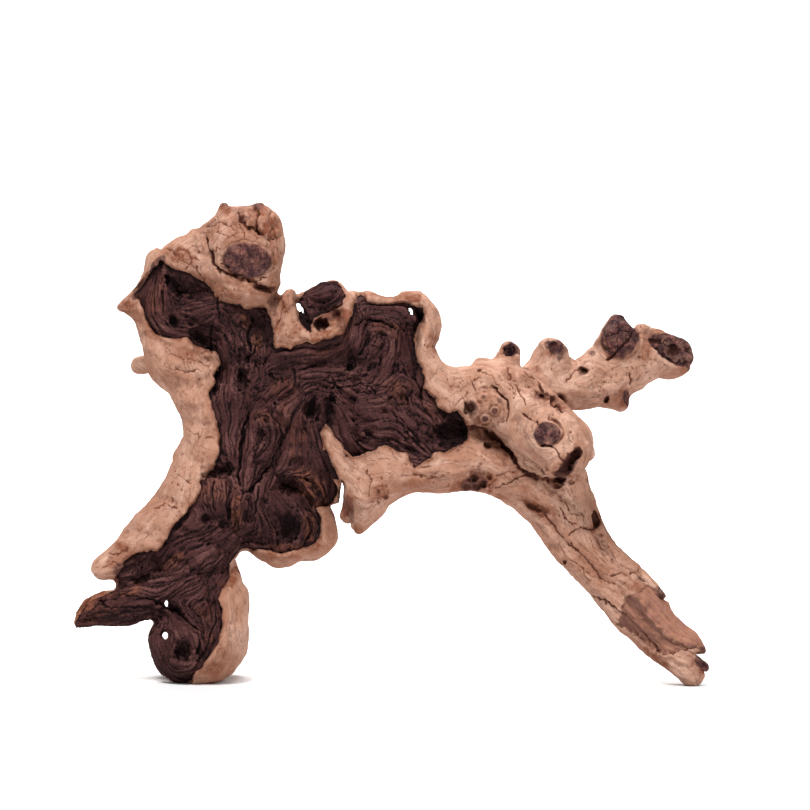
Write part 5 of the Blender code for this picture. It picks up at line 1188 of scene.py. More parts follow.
def grain_directions(coarse, normals, wood):
    """The way that the grain runs at each place near the skin."""
    tensor = grid_of(np.full(coarse.shape + (6,), 1e-7, np.float32), LOW, coarse.pitch)
    for stations in RUNS.values():
        centres, radii = run_swellings(stations)
        for start, end, size in zip(centres, centres[1:], radii):
            spread_grain(tensor, 0.5 * (start + end), unit(end - start), size[0] + 4.0, 0.02)
    for course in FLOWS:
        add_course(tensor, coarse, as_points(course), 4.2, 1.0)
    for x, z, radius in KNOT_RINGS:
        ring = [(x + radius * math.cos(turn), z + radius * math.sin(turn))
                for turn in np.linspace(0.0, 2 * math.pi, 13)]
        add_course(tensor, coarse, ring, min(0.55 * radius, 4.0), 1.6)
    near = np.nonzero(np.abs(coarse.values) < 9.0)
    points = (coarse.low + coarse.pitch * np.stack(near, -1)).astype(np.float32)
    flow = as_matrices(tensor.values[near])
    flow /= np.trace(flow, axis1=1, axis2=2)[:, None, None]
    drift = np.stack([wood.smooth(points, 16.0, shift) for shift in (11, 12, 13)], -1)
    flow += 0.10 * drift[:, :, None] * drift[:, None, :] / 3.0
    normal = normals.values[near]
    flat = np.eye(3, dtype=np.float32) - normal[:, :, None] * normal[:, None, :]
    tensor.values[:] = 0.0
    tensor.values[near] = products(np.linalg.eigh(flat @ flow @ flat)[1][:, :, 2])

    fine = Grid(LOW, HIGH, coarse.pitch / 2, 0.0, (3,))
    around = np.zeros(fine.shape, bool)
    for shift in np.ndindex(2, 2, 2):
        index = np.clip(2 * np.stack(near, -1) + shift, 0, np.array(fine.shape) - 1)
        around[tuple(index.T)] = True
    close = np.nonzero(around)
    points = (fine.low + fine.pitch * np.stack(close, -1)).astype(np.float32)
    heading = np.linalg.eigh(as_matrices(tensor.sample(points)))[1][:, :, 2].astype(np.float32)
    turn = 0.17 * wood.smooth(points, 17.0, 14) + 0.13 * wood.smooth(points, 7.5, 15)
    turn = np.clip(turn, -0.9, 0.9)[:, None]
    fine.values[close] = heading * np.cos(turn) + np.cross(normals.sample(points), heading) * np.sin(turn)
    return fine


def combed(wood, directions, points, size, reach, shift=0.0):
    """Noise drawn out along the grain, so that it makes strands about as wide as size."""
    step = 0.45 * size
    count = max(1, round(reach / step))
    total = wood.smooth(points, size, shift)
    for sign in (1.0, -1.0):
        heading = sign * directions.nearest(points)
        place = points.copy()
        for number in range(count):
            place += step * heading
            weight = 0.5 + 0.5 * math.cos(math.pi * (number + 1) / (count + 1))
            total += weight * wood.at(place, size, shift)
            ahead = directions.nearest(place)
            turned = (ahead * heading).sum(-1, keepdims=True) < 0.0
            heading = np.where(turned, -ahead, ahead)
    return total / total.std()


# The skin's mesh


def face_normals(points, quads):
    corners = points[quads]
    return np.cross(corners[:, 2] - corners[:, 0], corners[:, 3] - corners[:, 1])


def meshed(field):
    """The skin as points, in mm, and quads that face outwards."""
    block = openvdb.FloatGrid(FAR)
    block.copyFromArray(field.values)
    points, quads = block.convertToQuads(0.0)
    points = points.astype(np.float64) * field.pitch + field.low
    if (points[quads].mean(1) * face_normals(points, quads)).sum() < 0:
        quads = quads[:, ::-1]
    return points.astype(np.float32), np.ascontiguousarray(quads, np.int32)


def vertex_normals(points, quads):
    across = face_normals(points, quads)
    total = np.stack([np.bincount(quads.ravel(), np.repeat(across[:, axis], 4), len(points))
                      for axis in range(3)], -1)
    return unit(total).astype(np.float32)


def neighbours(quads):
    joined = np.concatenate([quads[:, [0, 1]], quads[:, [1, 2]], quads[:, [2, 3]], quads[:, [3, 0]]])
    return joined[joined[:, 0] < joined[:, 1]]


def evened(values, pairs, steps):
    """Values averaged over each point's neighbours, so many times."""
    count = np.bincount(pairs.ravel(), minlength=len(values)).astype(np.float32)
    single = values.ndim == 1
    values = values[:, None] if single else values
    for _ in range(steps):
        total = np.empty_like(values)
        for axis in range(values.shape[1]):
            column = values[:, axis]
            total[:, axis] = np.bincount(pairs[:, 0], column[pairs[:, 1]], len(values))
            total[:, axis] += np.bincount(pairs[:, 1], column[pairs[:, 0]], len(values))
        values = 0.5 * values + 0.5 * total / np.maximum(count, 1.0)[:, None]
    return values[:, 0] if single else values


def lumps(points, size):
    """The same slow lumps that the solids have."""
    return np.array([noise.noise(Vector(point)) for point in points / size], np.float32)


def within_box(points):
    """Points, in mm, drawn in smoothly where they come near the sides of the solids' box."""
    low, high = np.array(CAD_BOX) / MM
    soft = 1.2
    over = np.maximum(points - (high - soft), 0.0)
    points = np.where(over > 0, high - soft * np.exp(-over / soft), points)
    under = np.maximum(low + soft - points, 0.0)
    under[:, 2] = 0.0
    points = np.where(under > 0, low + soft * np.exp(-under / soft), points)
    points[:, 2] = np.maximum(points[:, 2], 0.0)
    return points.astype(np.float32)


def sculpt(points, quads, normals, directions, drawn, wood, form):
    """Works the strands, cracks and pores into the skin, and returns its masks."""
    view = np.stack(front_view(points), -1).astype(np.float32)
    look = {name: picture.sample(view) for name, picture in drawn.items()}
    front, rear = facing(normals, points)
    inside = np.maximum(look["inside"] - 5.0 * (1 - front) - 2 * FAR * rear,
                        look["rear inside"] - 5.0 * (1 - rear) - 2 * FAR * front)
    round_front = smoothstep(-0.4, 0.0, -normals.sample(points)[:, 1])
    flake = round_front * smoothstep(0.2, 1.0, look["flake"])
    heart = smoothstep(0.25, 0.85, inside)
    cracks = front * look["cracks"]

    ropes = combed(wood, directions, points, 5.2, 36.0, 1)
    strands = combed(wood, directions, points, 2.5, 24.0, 2)
    threads = combed(wood, directions, points, 1.3, 12.0, 3)

    roped = np.minimum(np.abs(ropes), 1.6) ** 0.75
    stranded = np.minimum(np.abs(strands), 1.6) ** 0.75
    strength = 0.9 + 0.3 * wood.smooth(points, 24.0, 6)
    rise = form.rope_height / MM * strength * (roped - 0.75) + form.strand_height / MM * (stranded - 0.75)
    rise += 0.10 * threads
    open_wood = np.maximum(heart, 0.55 * flake)
    near_floor = smoothstep(0.3, 2.5, points[:, 2])
    lift = form.lump_height / MM * lumps(points, 26.0)
    folds = np.minimum(np.abs(wood.smooth(points, 19.0, 7)), 1.1) - 0.55
    dents = wood.smooth(points, 9.0, 8)
    crumbs = wood.smooth(points, 3.4, 9)
    fibrous = 0.75 + 0.7 * smoothstep(70.0, 100.0, view[:, 0]) * smoothstep(125.0, 105.0, view[:, 1])
    grain = 0.22 * np.clip(ropes, -2, 2) + 0.15 * np.clip(strands, -2, 2) + 0.05 * threads
    rough = 0.6 * folds + 0.16 * dents + 0.06 * crumbs + fibrous * grain
    lift += open_wood * rise + (1 - open_wood) * rough
    lift -= cracks
    skin = vertex_normals(points, quads)
    points = within_box(points + skin * (lift * near_floor)[:, None])

    joined = neighbours(quads)
    skin = vertex_normals(points, quads)
    # How far the skin dips below its neighbours, close by and broadly: the material paints shade in these
    # dips.
    fine = ((evened(points, joined, 4) - points) * skin).sum(-1)
    broad = ((evened(points, joined, 30) - points) * skin).sum(-1)
    rim = (1 - heart) * np.exp(-np.maximum(-inside, 0.0) / 2.2) * (np.maximum(front, rear) > 0.3)
    # How far inside the heartwood lies from the sapwood's edge: the material blackens it there as the
    # painted shade of the ledge.
    fade = (1.8 + 0.8 * wood.smooth(points, 15.0, 10)).clip(0.7, 4.0)
    shaded = np.exp(-np.maximum(inside - 0.6, 0.0) / fade)
    return points, {
        "heart": heart,
        "flake": flake,
        "stain": np.maximum(round_front * look["stain"], 0.75 * rim),
        "dark": round_front * look["dark"],
        "crack": np.clip(cracks / 1.5, 0, 1),
        "pit": np.clip(front * look["pits"] / 4.0, 0, 1),
        "rope": np.clip(roped / 1.4, 0, 1),
        "strand": np.clip(stranded / 1.4, 0, 1),
        "streak": np.clip(0.5 + 0.2 * ropes, 0, 1),
        "thread": np.clip(0.5 + 0.2 * threads, 0, 1),
        "crevice": np.clip(fine / 0.35, -1, 1),
        "cavity": np.clip(broad / 1.6, -1, 1),
        # How far the skin faces up: the material paints shade on faces that look down.
        "upright": evened(skin[:, 2], joined, 6),
        "fibre": np.clip(0.5 + 0.2 * strands, 0, 1),
        "rust": round_front * look["rust"],
        "border": heart * shaded,
    }


# Mesh tools


def read(things, value, kind=np.float32, width=1):
    """One value of each of a mesh's points, edges, corners or faces, in rows of the given width."""
    numbers = np.empty(len(things) * width, kind)
    things.foreach_get(value, numbers)
    return numbers.reshape(-1, width) if width > 1 else numbers


def new_mesh(name, places, corners, starts, masks):
    """A mesh from points in metres and the faces' corners, with each mask as a value on the points."""
    mesh = bpy.data.meshes.new(name)
    mesh.vertices.add(len(places))
    mesh.vertices.foreach_set("co", places.astype(np.float32).ravel())
    mesh.loops.add(len(corners))
    mesh.loops.foreach_set("vertex_index", corners.astype(np.int32))
    mesh.polygons.add(len(starts))
    mesh.polygons.foreach_set("loop_start", starts.astype(np.int32))
    for mask, values in masks.items():
        mesh.attributes.new(mask, "FLOAT", "POINT").data.foreach_set("value", values.astype(np.float32))
    mesh.update(calc_edges=True)
    return mesh


def blade(spot, growth):
    """A saw cut's place and its three directions, in mm: along the growth, across and deep."""
    across, up, deep = growth
    along = Vector((across, deep, up)).normalized()
    sideways = Vector((0.0, 1.0, 0.0)).cross(along).normalized()
    return Vector(seen(*(float(part) for part in spot))), along, sideways, along.cross(sideways)


def saw_at_forks(mesh):
    """Cuts the skin along each blade, and marks the cuts as seams."""
    bm = bmesh.new()
    bm.from_mesh(mesh)
    bm.faces.ensure_lookup_table()
    middles = read(mesh.polygons, "center", width=3) / MM
    chosen = []
    for _, spot, growth, half_width, half_depth in FORKS:
        place, *directions = blade(spot, growth)
        apart = np.abs((middles - np.array(place)) @ np.array(directions).T)
        by_blade = (apart < (BLADE_REACH, half_width, half_depth)).all(1)
        chosen.append([bm.faces[i] for i in np.nonzero(by_blade)[0]])
    for faces, (_, spot, growth, _, _) in zip(chosen, FORKS):
        place, along, _, _ = blade(spot, growth)
        geometry = set(faces)
        for face in faces:
            geometry.update(face.edges)
            geometry.update(face.verts)
        cut = bmesh.ops.bisect_plane(
            bm, geom=list(geometry), dist=1e-7, plane_co=place * MM, plane_no=along)
        for part in cut["geom_cut"]:
            if isinstance(part, bmesh.types.BMEdge):
                part.seam = True
    bm.to_mesh(mesh)
    bm.free()


def islands(count, joined):
    """Numbers the groups of things that are joined in pairs."""
    label = np.arange(count)
    while True:
        lower = np.minimum(label[joined[:, 0]], label[joined[:, 1]])
        after = label.copy()
        np.minimum.at(after, label[joined[:, 0]], lower)
        np.minimum.at(after, label[joined[:, 1]], lower)
        while not (after[after] == after).all():
            after = after[after]
        if (after == label).all():
            return label
        label = after


def name_pieces(mesh):
    """Writes on each face which node it belongs to: the groups of faces between the seams."""
    seams = read(mesh.edges, "use_seam", bool)
    loop_edges = read(mesh.loops, "edge_index", np.int32)
    totals = read(mesh.polygons, "loop_total", np.int32)
    owners = np.repeat(np.arange(len(totals)), totals)
    order = np.argsort(loop_edges, kind="stable")
    edge, face = loop_edges[order], owners[order]
    joined = (edge[1:] == edge[:-1]) & ~seams[edge[1:]]
    group = islands(len(totals), np.stack([face[:-1][joined], face[1:][joined]], -1))
    sizes = np.bincount(group, minlength=len(totals))
    middles = read(mesh.polygons, "center", width=3) / MM
    piece = np.full(len(totals), -1, np.int32)
    for number, (_, spot, growth, _, _) in enumerate(FORKS):
        place, along, _, _ = blade(spot, growth)
        beyond = np.array(place + along * BEYOND_CUT)
        large = (sizes[group] > SMALLEST_PIECE) & (piece < 0)
        near = np.where(large, ((middles - beyond)**2).sum(-1), np.inf).argmin()
        piece[group == group[near]] = number
    mesh.attributes.new("piece", "INT", "FACE").data.foreach_set("value", piece)


def grow_skin(form):
    pitch = form.pitch / MM * 1.0
    wood = Noise(form.seed)
    field = grown_field(2.0 * pitch, form.heal / MM)
    coarse, normals = skin_normals(field)
    field = finer(field)
    drawn = drawn_features(wood, form)
    carve_field(field, normals, drawn)
    heights = field.low[2] + np.float32(field.pitch) * np.arange(field.shape[2], dtype=np.float32)
    np.maximum(field.values, -heights, out=field.values)
    points, quads = meshed(field)
    del field
    directions = grain_directions(coarse, normals, wood)
    points, masks = sculpt(points, quads, normals, directions, drawn, wood, form)
    mesh = new_mesh(SKIN, points * MM, quads.ravel(), np.arange(0, quads.size, 4), masks)
    saw_at_forks(mesh)
    name_pieces(mesh)


def part_of_skin(skin, number, name):
    """The faces of the skin that belong to one piece, as a mesh of their own."""
    kept = read(skin.attributes["piece"].data, "value", np.int32) == number
    totals = read(skin.polygons, "loop_total", np.int32)
    corners = read(skin.loops, "vertex_index", np.int32)[np.repeat(kept, totals)]
    used, corners = np.unique(corners, return_inverse=True)
    starts = np.cumsum(totals[kept]) - totals[kept]
    masks = {mask.name: read(mask.data, "value")[used] for mask in skin.attributes
             if mask.data_type == "FLOAT" and mask.domain == "POINT"}
    return new_mesh(name, read(skin.vertices, "co", width=3)[used], corners, starts, masks)


def close_cuts(mesh):
    """Fills the openings that the saw left, with a crisp edge round each."""
    bm = bmesh.new()
    bm.from_mesh(mesh)
    border = [edge for edge in bm.edges if edge.is_boundary]
    filled = bmesh.ops.holes_fill(bm, edges=border, sides=0)["faces"]
    bmesh.ops.triangulate(bm, faces=filled)
    for edge in border:
        edge.smooth = False
    for face in bm.faces:
        face.smooth = True
    bm.to_mesh(mesh)
    bm.free()


def thinned(obj, limit):
    """Takes out triangles where the skin is flattest until no more than limit are left."""
    triangles = int((read(obj.data.polygons, "loop_total", np.int32) - 2).sum())
    if triangles <= limit:
        return
    modifier = obj.modifiers.new("thin", "DECIMATE")
    modifier.ratio = limit / triangles
    depsgraph = bpy.context.evaluated_depsgraph_get()
    mesh = bpy.data.meshes.new_from_object(
        obj.evaluated_get(depsgraph), preserve_all_data_layers=True, depsgraph=depsgraph)
    obj.modifiers.remove(modifier)
    old, obj.data = obj.data, mesh
    bpy.data.meshes.remove(old)


def keep_in_box(mesh):
    """Keeps the skin within the box that the solids fill."""
    low, high = np.array(CAD_BOX[0]), np.array(CAD_BOX[1])
    places = read(mesh.vertices, "co", width=3)
    places = np.clip(places, low + (SKIN_MARGIN, SKIN_MARGIN, 0.0), high - SKIN_MARGIN)
    mesh.vertices.foreach_set("co", places.astype(np.float32).ravel())
    mesh.update()


def cut_piece(node, limit):
    """One node's part of the skin as an object of its own, closed where it was sawn."""
    names = [fork[0] for fork in FORKS]
    number = names.index(node) if node in names else -1
    mesh = part_of_skin(bpy.data.meshes[SKIN], number, node + "_skin")
    close_cuts(mesh)
    obj = bpy.data.objects.new(node + "_skin", mesh)
    bpy.context.scene.collection.objects.link(obj)
    thinned(obj, limit)
    obj.data.name = obj.name
    keep_in_box(obj.data)
    return obj


# Materials


class Nodes:
    """Adds nodes to a tree and links them up."""

    def __init__(self, tree):
        self.tree = tree
        self.count = 0

    def add(self, kind, inputs=None, **settings):
        node = self.tree.nodes.new(kind)
        node.location = (220 * (self.count // 6), -260 * (self.count % 6))
        self.count += 1
        for name, value in settings.items():
            setattr(node, name, value)
        for name, value in (inputs or {}).items():
            self.put(value, node.inputs[name])
        return node

    def put(self, value, socket):
        if isinstance(value, bpy.types.NodeSocket):
            self.tree.links.new(value, socket)
        elif socket.type == "RGBA":
            socket.default_value = (*tuple(value)[:3], 1.0)
        else:
            socket.default_value = value

    def mask(self, name):
        return self.add("ShaderNodeAttribute", attribute_name=name).outputs["Fac"]

    def group(self, tree, **inputs):
        return self.add("ShaderNodeGroup", inputs, node_tree=tree).outputs[0]

    def maths(self, operation, first, second=0.0, clamp=False):
        node = self.add("ShaderNodeMath", {0: first, 1: second}, operation=operation, use_clamp=clamp)
        return node.outputs[0]

    def times(self, first, second):
        return self.maths("MULTIPLY", first, second)

    def scaled(self, value, low, high, start=0.0, end=1.0):
        inputs = {"Value": value, "From Min": low, "From Max": high, "To Min": start, "To Max": end}
        return self.add("ShaderNodeMapRange", inputs, interpolation_type="SMOOTHSTEP").outputs[0]

    def mix(self, factor, first, second, blend="MIX"):
        inputs = {0: factor, 6: first, 7: second}
        return self.add("ShaderNodeMix", inputs, data_type="RGBA", blend_type=blend).outputs[2]

    def layered(self, colour, *layers):
        """Lays colours over one, in turn: each layer is its share and its colour."""
        for share, shade in layers:
            colour = self.mix(share, colour, shade)
        return colour

    def noise(self, place, size, detail=3.0, roughness=0.5):
        """Noise from 0 to 1 with lumps of about the given size in mm."""
        inputs = {"Vector": place, "Scale": 1000.0 / size, "Detail": detail, "Roughness": roughness}
        return self.add("ShaderNodeTexNoise", inputs).outputs["Fac"]

    def place(self):
        return self.add("ShaderNodeTexCoord").outputs["Object"]


def node_group(name, numbers, colours, result="Colour"):
    """A new node group with inputs of these names: its nodes, its inputs and its one output."""
    group = bpy.data.node_groups.new(name, "ShaderNodeTree")
    sockets = [(socket, "INPUT", "Float") for socket in numbers.split()]
    sockets += [(socket, "INPUT", "Color") for socket in colours.split()]
    sockets.append((result, "OUTPUT", "Color" if result == "Colour" else "Float"))
    for socket, side, kind in sockets:
        group.interface.new_socket(socket, in_out=side, socket_type="NodeSocket" + kind)
    nodes = Nodes(group)
    return nodes, nodes.add("NodeGroupInput").outputs, nodes.add("NodeGroupOutput").inputs[result]


def heartwood_group():
    """The dark inner wood, coloured by the height of its grain: reddish crests, partly worn wood and partly
    a painted highlight, a brown body, and black furrows and hollows, which are painted shade.
    """
    nodes, given, result = node_group("heartwood colour", "Rope Strand Crevice Cavity", "Crest Body Furrow")
    place = nodes.place()
    height = nodes.maths("ADD", nodes.times(given["Rope"], 0.45), nodes.times(given["Strand"], 0.55))
    height = nodes.maths("SUBTRACT", height, nodes.times(given["Crevice"], 0.35))
    patchy = nodes.scaled(nodes.noise(place, 18.0, 4.0, 0.6), 0.35, 0.68)
    crest = nodes.times(nodes.scaled(height, 0.45, 1.0), patchy)
    colour = nodes.layered(
        given["Furrow"], (nodes.scaled(height, 0.05, 0.48), given["Body"]), (crest, given["Crest"]))
    speck = nodes.scaled(nodes.noise(place, 1.3, 3.0, 0.7), 0.30, 0.62, 0.72, 1.1)
    grey = nodes.add("ShaderNodeCombineColor", {0: speck, 1: speck, 2: speck}).outputs[0]
    colour = nodes.mix(1.0, colour, grey, "MULTIPLY")
    # Hollows are blackened: painted shade.
    hollow = nodes.scaled(given["Cavity"], 0.1, 0.9, 0.0, 0.8)
    nodes.put(nodes.mix(hollow, colour, given["Furrow"]), result)
    return nodes.tree


def hairline_group():
    """Fine dark lines: where the fibres part, and hair cracks that wander across them."""
    nodes, given, result = node_group("hairlines", "Streak Fibre", "", "Lines")
    place = nodes.place()

    def line(value, middle, width):
        apart = nodes.maths("ABSOLUTE", nodes.maths("SUBTRACT", value, middle))
        return nodes.scaled(apart, 0.0, width, 1.0, 0.0)

    often = nodes.scaled(nodes.noise(place, 14.0, 4.0, 0.6), 0.42, 0.62)
    seldom = nodes.scaled(nodes.noise(place, 23.0, 3.0, 0.5), 0.50, 0.62)
    fibres = nodes.times(line(given["Fibre"], 0.46, 0.03), often)
    streaks = nodes.times(line(given["Streak"], 0.40, 0.016), 0.85)
    hairs = nodes.times(line(nodes.noise(place, 17.0, 5.0, 0.55), 0.5, 0.006), seldom)
    lines = nodes.maths("MAXIMUM", nodes.times(fibres, 0.75), streaks)
    nodes.put(nodes.maths("MAXIMUM", lines, hairs), result)
    return nodes.tree


def sapwood_group():
    """The pale outer wood: streaked, mottled and flecked with tan and brown, with brown in its lines,
    painted shade in its hollows and creases, and bulges made paler as worn edges and a painted highlight.
    """
    nodes, given, result = node_group(
        "sapwood colour", "Streak Thread Lines Crevice Cavity", "Pale Tan Dirt")
    place = nodes.place()
    pale, tan, dirt = given["Pale"], given["Tan"], given["Dirt"]
    nodes.put(nodes.layered(
        pale,
        (nodes.times(nodes.scaled(nodes.noise(place, 21.0, 5.0, 0.65), 0.36, 0.64), 0.7), tan),
        (nodes.times(nodes.scaled(given["Streak"], 0.2, 0.85), 0.5), tan),
        (nodes.times(nodes.scaled(given["Thread"], 0.25, 0.75), 0.3), tan),
        # Bulges turn paler: partly worn edges, partly a painted highlight.
        (nodes.scaled(given["Cavity"], -0.1, -0.9, 0.0, 0.65), pale),
        (nodes.scaled(nodes.noise(place, 6.0, 6.0, 0.75), 0.48, 0.66, 0.0, 0.5), tan),
        (nodes.times(given["Lines"], 0.68), dirt),
        (nodes.scaled(nodes.noise(place, 9.0, 6.0, 0.72), 0.56, 0.72, 0.0, 0.5), dirt),
        (nodes.scaled(nodes.noise(place, 1.6, 4.0, 0.75), 0.57, 0.70, 0.0, 0.65), dirt),
        # Hollows and creases turn dark brown: painted shade.
        (nodes.scaled(given["Cavity"], 0.05, 0.9, 0.0, 0.85), dirt),
        (nodes.scaled(given["Crevice"], 0.08, 0.65, 0.0, 0.72), dirt)), result)
    return nodes.tree


def scar_group():
    """The crazed end grain of a healed branch."""
    nodes, given, result = node_group("crazed scar", "", "Scar Crack Worn")
    place = nodes.place()
    web = nodes.add("ShaderNodeTexVoronoi", {"Vector": place, "Scale": 330.0},
                    feature="DISTANCE_TO_EDGE").outputs["Distance"]
    worn = nodes.scaled(nodes.noise(place, 4.4, 5.0, 0.62), 0.46, 0.68)
    crazing = nodes.scaled(web, 0.0, 0.09, 0.75, 0.0)
    nodes.put(nodes.layered(given["Scar"], (worn, given["Worn"]), (crazing, given["Crack"])), result)
    return nodes.tree


def patch_group():
    """A patch of another colour, with an edge that fades and breaks up."""
    nodes, given, result = node_group("worn patch", "Mask Broken", "Colour Patch")
    mottled = nodes.scaled(nodes.noise(nodes.place(), 5.0, 5.0, 0.72), 0.30, 0.68, -1.0, 0.5)
    share = nodes.maths("ADD", 1.0, nodes.times(mottled, given["Broken"]))
    share = nodes.maths("MULTIPLY", share, given["Mask"], clamp=True)
    nodes.put(nodes.mix(share, given["Colour"], given["Patch"]), result)
    return nodes.tree


def wood_material(colours):
    """Both woods, their stains, scars, holes and cracks, laid over one another by the skin's masks."""
    material = bpy.data.materials.new("weathered mopani")
    material.use_nodes = True
    nodes = Nodes(material.node_tree)
    shader = nodes.tree.nodes["Principled BSDF"]
    masks = {name: nodes.mask(name) for name in (
        "heart", "flake", "stain", "dark", "crack", "pit", "rope", "strand", "streak", "thread",
        "crevice", "cavity", "upright", "fibre", "rust", "border")}
    patch = patch_group()

    def patched(colour, shade, mask, broken):
        return nodes.group(patch, Colour=colour, Patch=shade, Mask=mask, Broken=broken)

    hairlines = nodes.group(hairline_group(), Streak=masks["streak"], Fibre=masks["fibre"])
    sap = nodes.group(
        sapwood_group(), Streak=masks["streak"], Thread=masks["thread"], Lines=hairlines,
        Crevice=masks["crevice"], Cavity=masks["cavity"], Pale=colours.sapwood, Tan=colours.tan,
        Dirt=colours.dirt)
    # Faces that look down are mixed towards dark brown: painted shade on the undersides.
    underside = nodes.scaled(masks["upright"], 0.0, -0.9, 0.0, 0.36)
    colour = patched(nodes.mix(underside, sap, colours.dirt), colours.stain, masks["stain"], 0.6)
    scar = nodes.group(scar_group(), Scar=colours.scar, Crack=colours.furrow, Worn=colours.worn_scar)
    colour = patched(colour, scar, masks["dark"], 0.25)
    # The flake's faces that turn down are darkened towards the scar colour: painted shade.
    inner = nodes.layered(
        colours.flake, (nodes.scaled(masks["thread"], 0.2, 0.8), colours.tan),
        (nodes.scaled(masks["upright"], 0.45, -0.3, 0.0, 0.55), colours.scar))
    colour = patched(colour, inner, masks["flake"], 0.2)
    # Pits are darkened by their depth towards the hole colour: painted shade.
    colour = patched(colour, colours.hole, nodes.times(masks["pit"], 0.9), 0.2)
    # The colour that cracks are darkened to, blacker on the scars: painted shade.
    split = nodes.mix(masks["dark"], colours.dirt, colours.furrow)

    heart = nodes.group(
        heartwood_group(), Rope=masks["rope"], Strand=masks["strand"], Crevice=masks["crevice"],
        Cavity=masks["cavity"], Crest=colours.crest, Body=colours.heartwood, Furrow=colours.furrow)
    rusty = nodes.mix(nodes.scaled(masks["strand"], 0.1, 0.75), colours.furrow, colours.rust)
    # The heartwood is blackened under the sapwood's ledges, in pits and cracks and on faces that look down:
    # painted shade.
    heart = nodes.layered(
        patched(heart, rusty, masks["rust"], 0.8),
        (nodes.scaled(masks["border"], 0.05, 0.9, 0.0, 0.75), colours.furrow),
        (nodes.times(masks["pit"], 0.85), colours.furrow),
        (nodes.scaled(masks["upright"], 0.2, -0.8, 0.0, 0.6), colours.furrow),
        (nodes.scaled(masks["crack"], 0.1, 0.6, 0.0, 0.9), colours.furrow))
    # Cracks and pores are darkened by their depth, to the hole colour where deepest: painted shade.
    colour = nodes.layered(
        colour, (nodes.scaled(masks["crack"], 0.15, 0.5, 0.0, 0.8), split),
        (nodes.scaled(masks["crack"], 0.45, 0.95, 0.0, 0.9), colours.hole),
        (nodes.scaled(masks["heart"], 0.35, 0.65), heart))
    nodes.put(colour, shader.inputs["Base Color"])
    shader.inputs["Specular IOR Level"].default_value = 0.06
    shader.inputs["Roughness"].default_value = 0.66
    fine = nodes.noise(nodes.place(), 1.1, 4.0, 0.7)
    bump = nodes.add("ShaderNodeBump", {"Height": fine, "Distance": 0.0003, "Strength": 0.7})
    parted = nodes.times(hairlines, nodes.scaled(masks["heart"], 0.2, 0.6, 1.0, 0.0))
    lines = nodes.add("ShaderNodeBump", {"Height": parted, "Distance": 0.0005, "Strength": 0.8,
                                         "Normal": bump.outputs[0]}, invert=True)
    nodes.put(lines.outputs[0], shader.inputs["Normal"])
    return material


def the_wood():
    return bpy.data.materials.get("weathered mopani") or wood_material(bpy.context.scene.mopani_colours)


# Settings


class MopaniForm(bpy.types.PropertyGroup):
    """Sizes of the root's skin"""

    pitch: FloatProperty(
        name="Fineness", description="Distance between points of the skin",
        default=0.6 * MM, min=0.4 * MM, max=3 * MM, unit="LENGTH")
    heal: FloatProperty(
        name="Healing", description="Width over which one swelling grows into the next",
        default=4.5 * MM, min=0.5 * MM, unit="LENGTH")
    ledge_depth: FloatProperty(
        name="Ledge depth", description="Depth of the open heartwood below the sapwood",
        default=2.2 * MM, min=0.0, unit="LENGTH")
    rope_height: FloatProperty(
        name="Rope height", description="Height of the heartwood's broad ropes of grain",
        default=1.0 * MM, min=0.0, unit="LENGTH")
    strand_height: FloatProperty(
        name="Strand height", description="Height of the strands on those ropes",
        default=0.5 * MM, min=0.0, unit="LENGTH")
    lump_height: FloatProperty(
        name="Lump height", description="Height of the slow lumps all over the root",
        default=1.6 * MM, min=0.0, unit="LENGTH")
    seed: IntProperty(name="Seed", description="Changes the grain's random course", default=7)


class MopaniColours(bpy.types.PropertyGroup):
    """Colours of the wood, in linear light"""

    sapwood: FloatVectorProperty(
        name="Pale sapwood", description="The crests of the pale outer wood",
        subtype="COLOR", default=(0.622, 0.396, 0.300))
    tan: FloatVectorProperty(
        name="Tan sapwood", description="The streaks and broad patches of the outer wood",
        subtype="COLOR", default=(0.345, 0.16, 0.099))
    # Brown flecks and lines of the sapwood, and also the painted shade in its hollows, creases and cracks
    # and on faces that look down.
    dirt: FloatVectorProperty(
        name="Dirt", description="The brown that has settled in the outer wood's hollows",
        subtype="COLOR", default=(0.135, 0.0415, 0.0245))
    # Orange-brown stain, also used as painted shadow under overhangs.
    stain: FloatVectorProperty(
        name="Stain_and_shade", description="Orange-brown where the sapwood is worn or cracked",
        subtype="COLOR", default=(0.2, 0.068, 0.036))
    # The crests are lighter partly as worn wood and partly as a painted highlight.
    crest: FloatVectorProperty(
        name="Heartwood crests", description="The worn, reddish tops of the dark inner wood's ropes",
        subtype="COLOR", default=(0.132, 0.0555, 0.05))
    heartwood: FloatVectorProperty(
        name="Heartwood", description="The body of the dark inner wood",
        subtype="COLOR", default=(0.05, 0.0186, 0.018))
    # The black of the furrows is painted shade; it also darkens the heartwood's hollows, pits and cracks,
    # the wood under the sapwood's ledges and faces that look down.
    furrow: FloatVectorProperty(
        name="Furrows", description="The bottoms of the heartwood's furrows",
        subtype="COLOR", default=(0.006, 0.0022, 0.0026))
    rust: FloatVectorProperty(
        name="Rusty heartwood", description="The rust-brown patches of the inner wood",
        subtype="COLOR", default=(0.195, 0.0675, 0.041))
    # The insides of holes, pits and cracks are painted dark with this: painted shade.
    hole: FloatVectorProperty(
        name="Holes", description="The insides of holes and cracks in the outer wood",
        subtype="COLOR", default=(0.044, 0.013, 0.0095))
    scar: FloatVectorProperty(
        name="Scars", description="The healed ends of lost branches",
        subtype="COLOR", default=(0.054, 0.0225, 0.0235))
    worn_scar: FloatVectorProperty(
        name="Worn scars", description="The worn tops of those ends",
        subtype="COLOR", default=(0.205, 0.078, 0.066))
    flake: FloatVectorProperty(
        name="Inner wood", description="The mauve-brown wood under a broken flake",
        subtype="COLOR", default=(0.29, 0.13, 0.098))


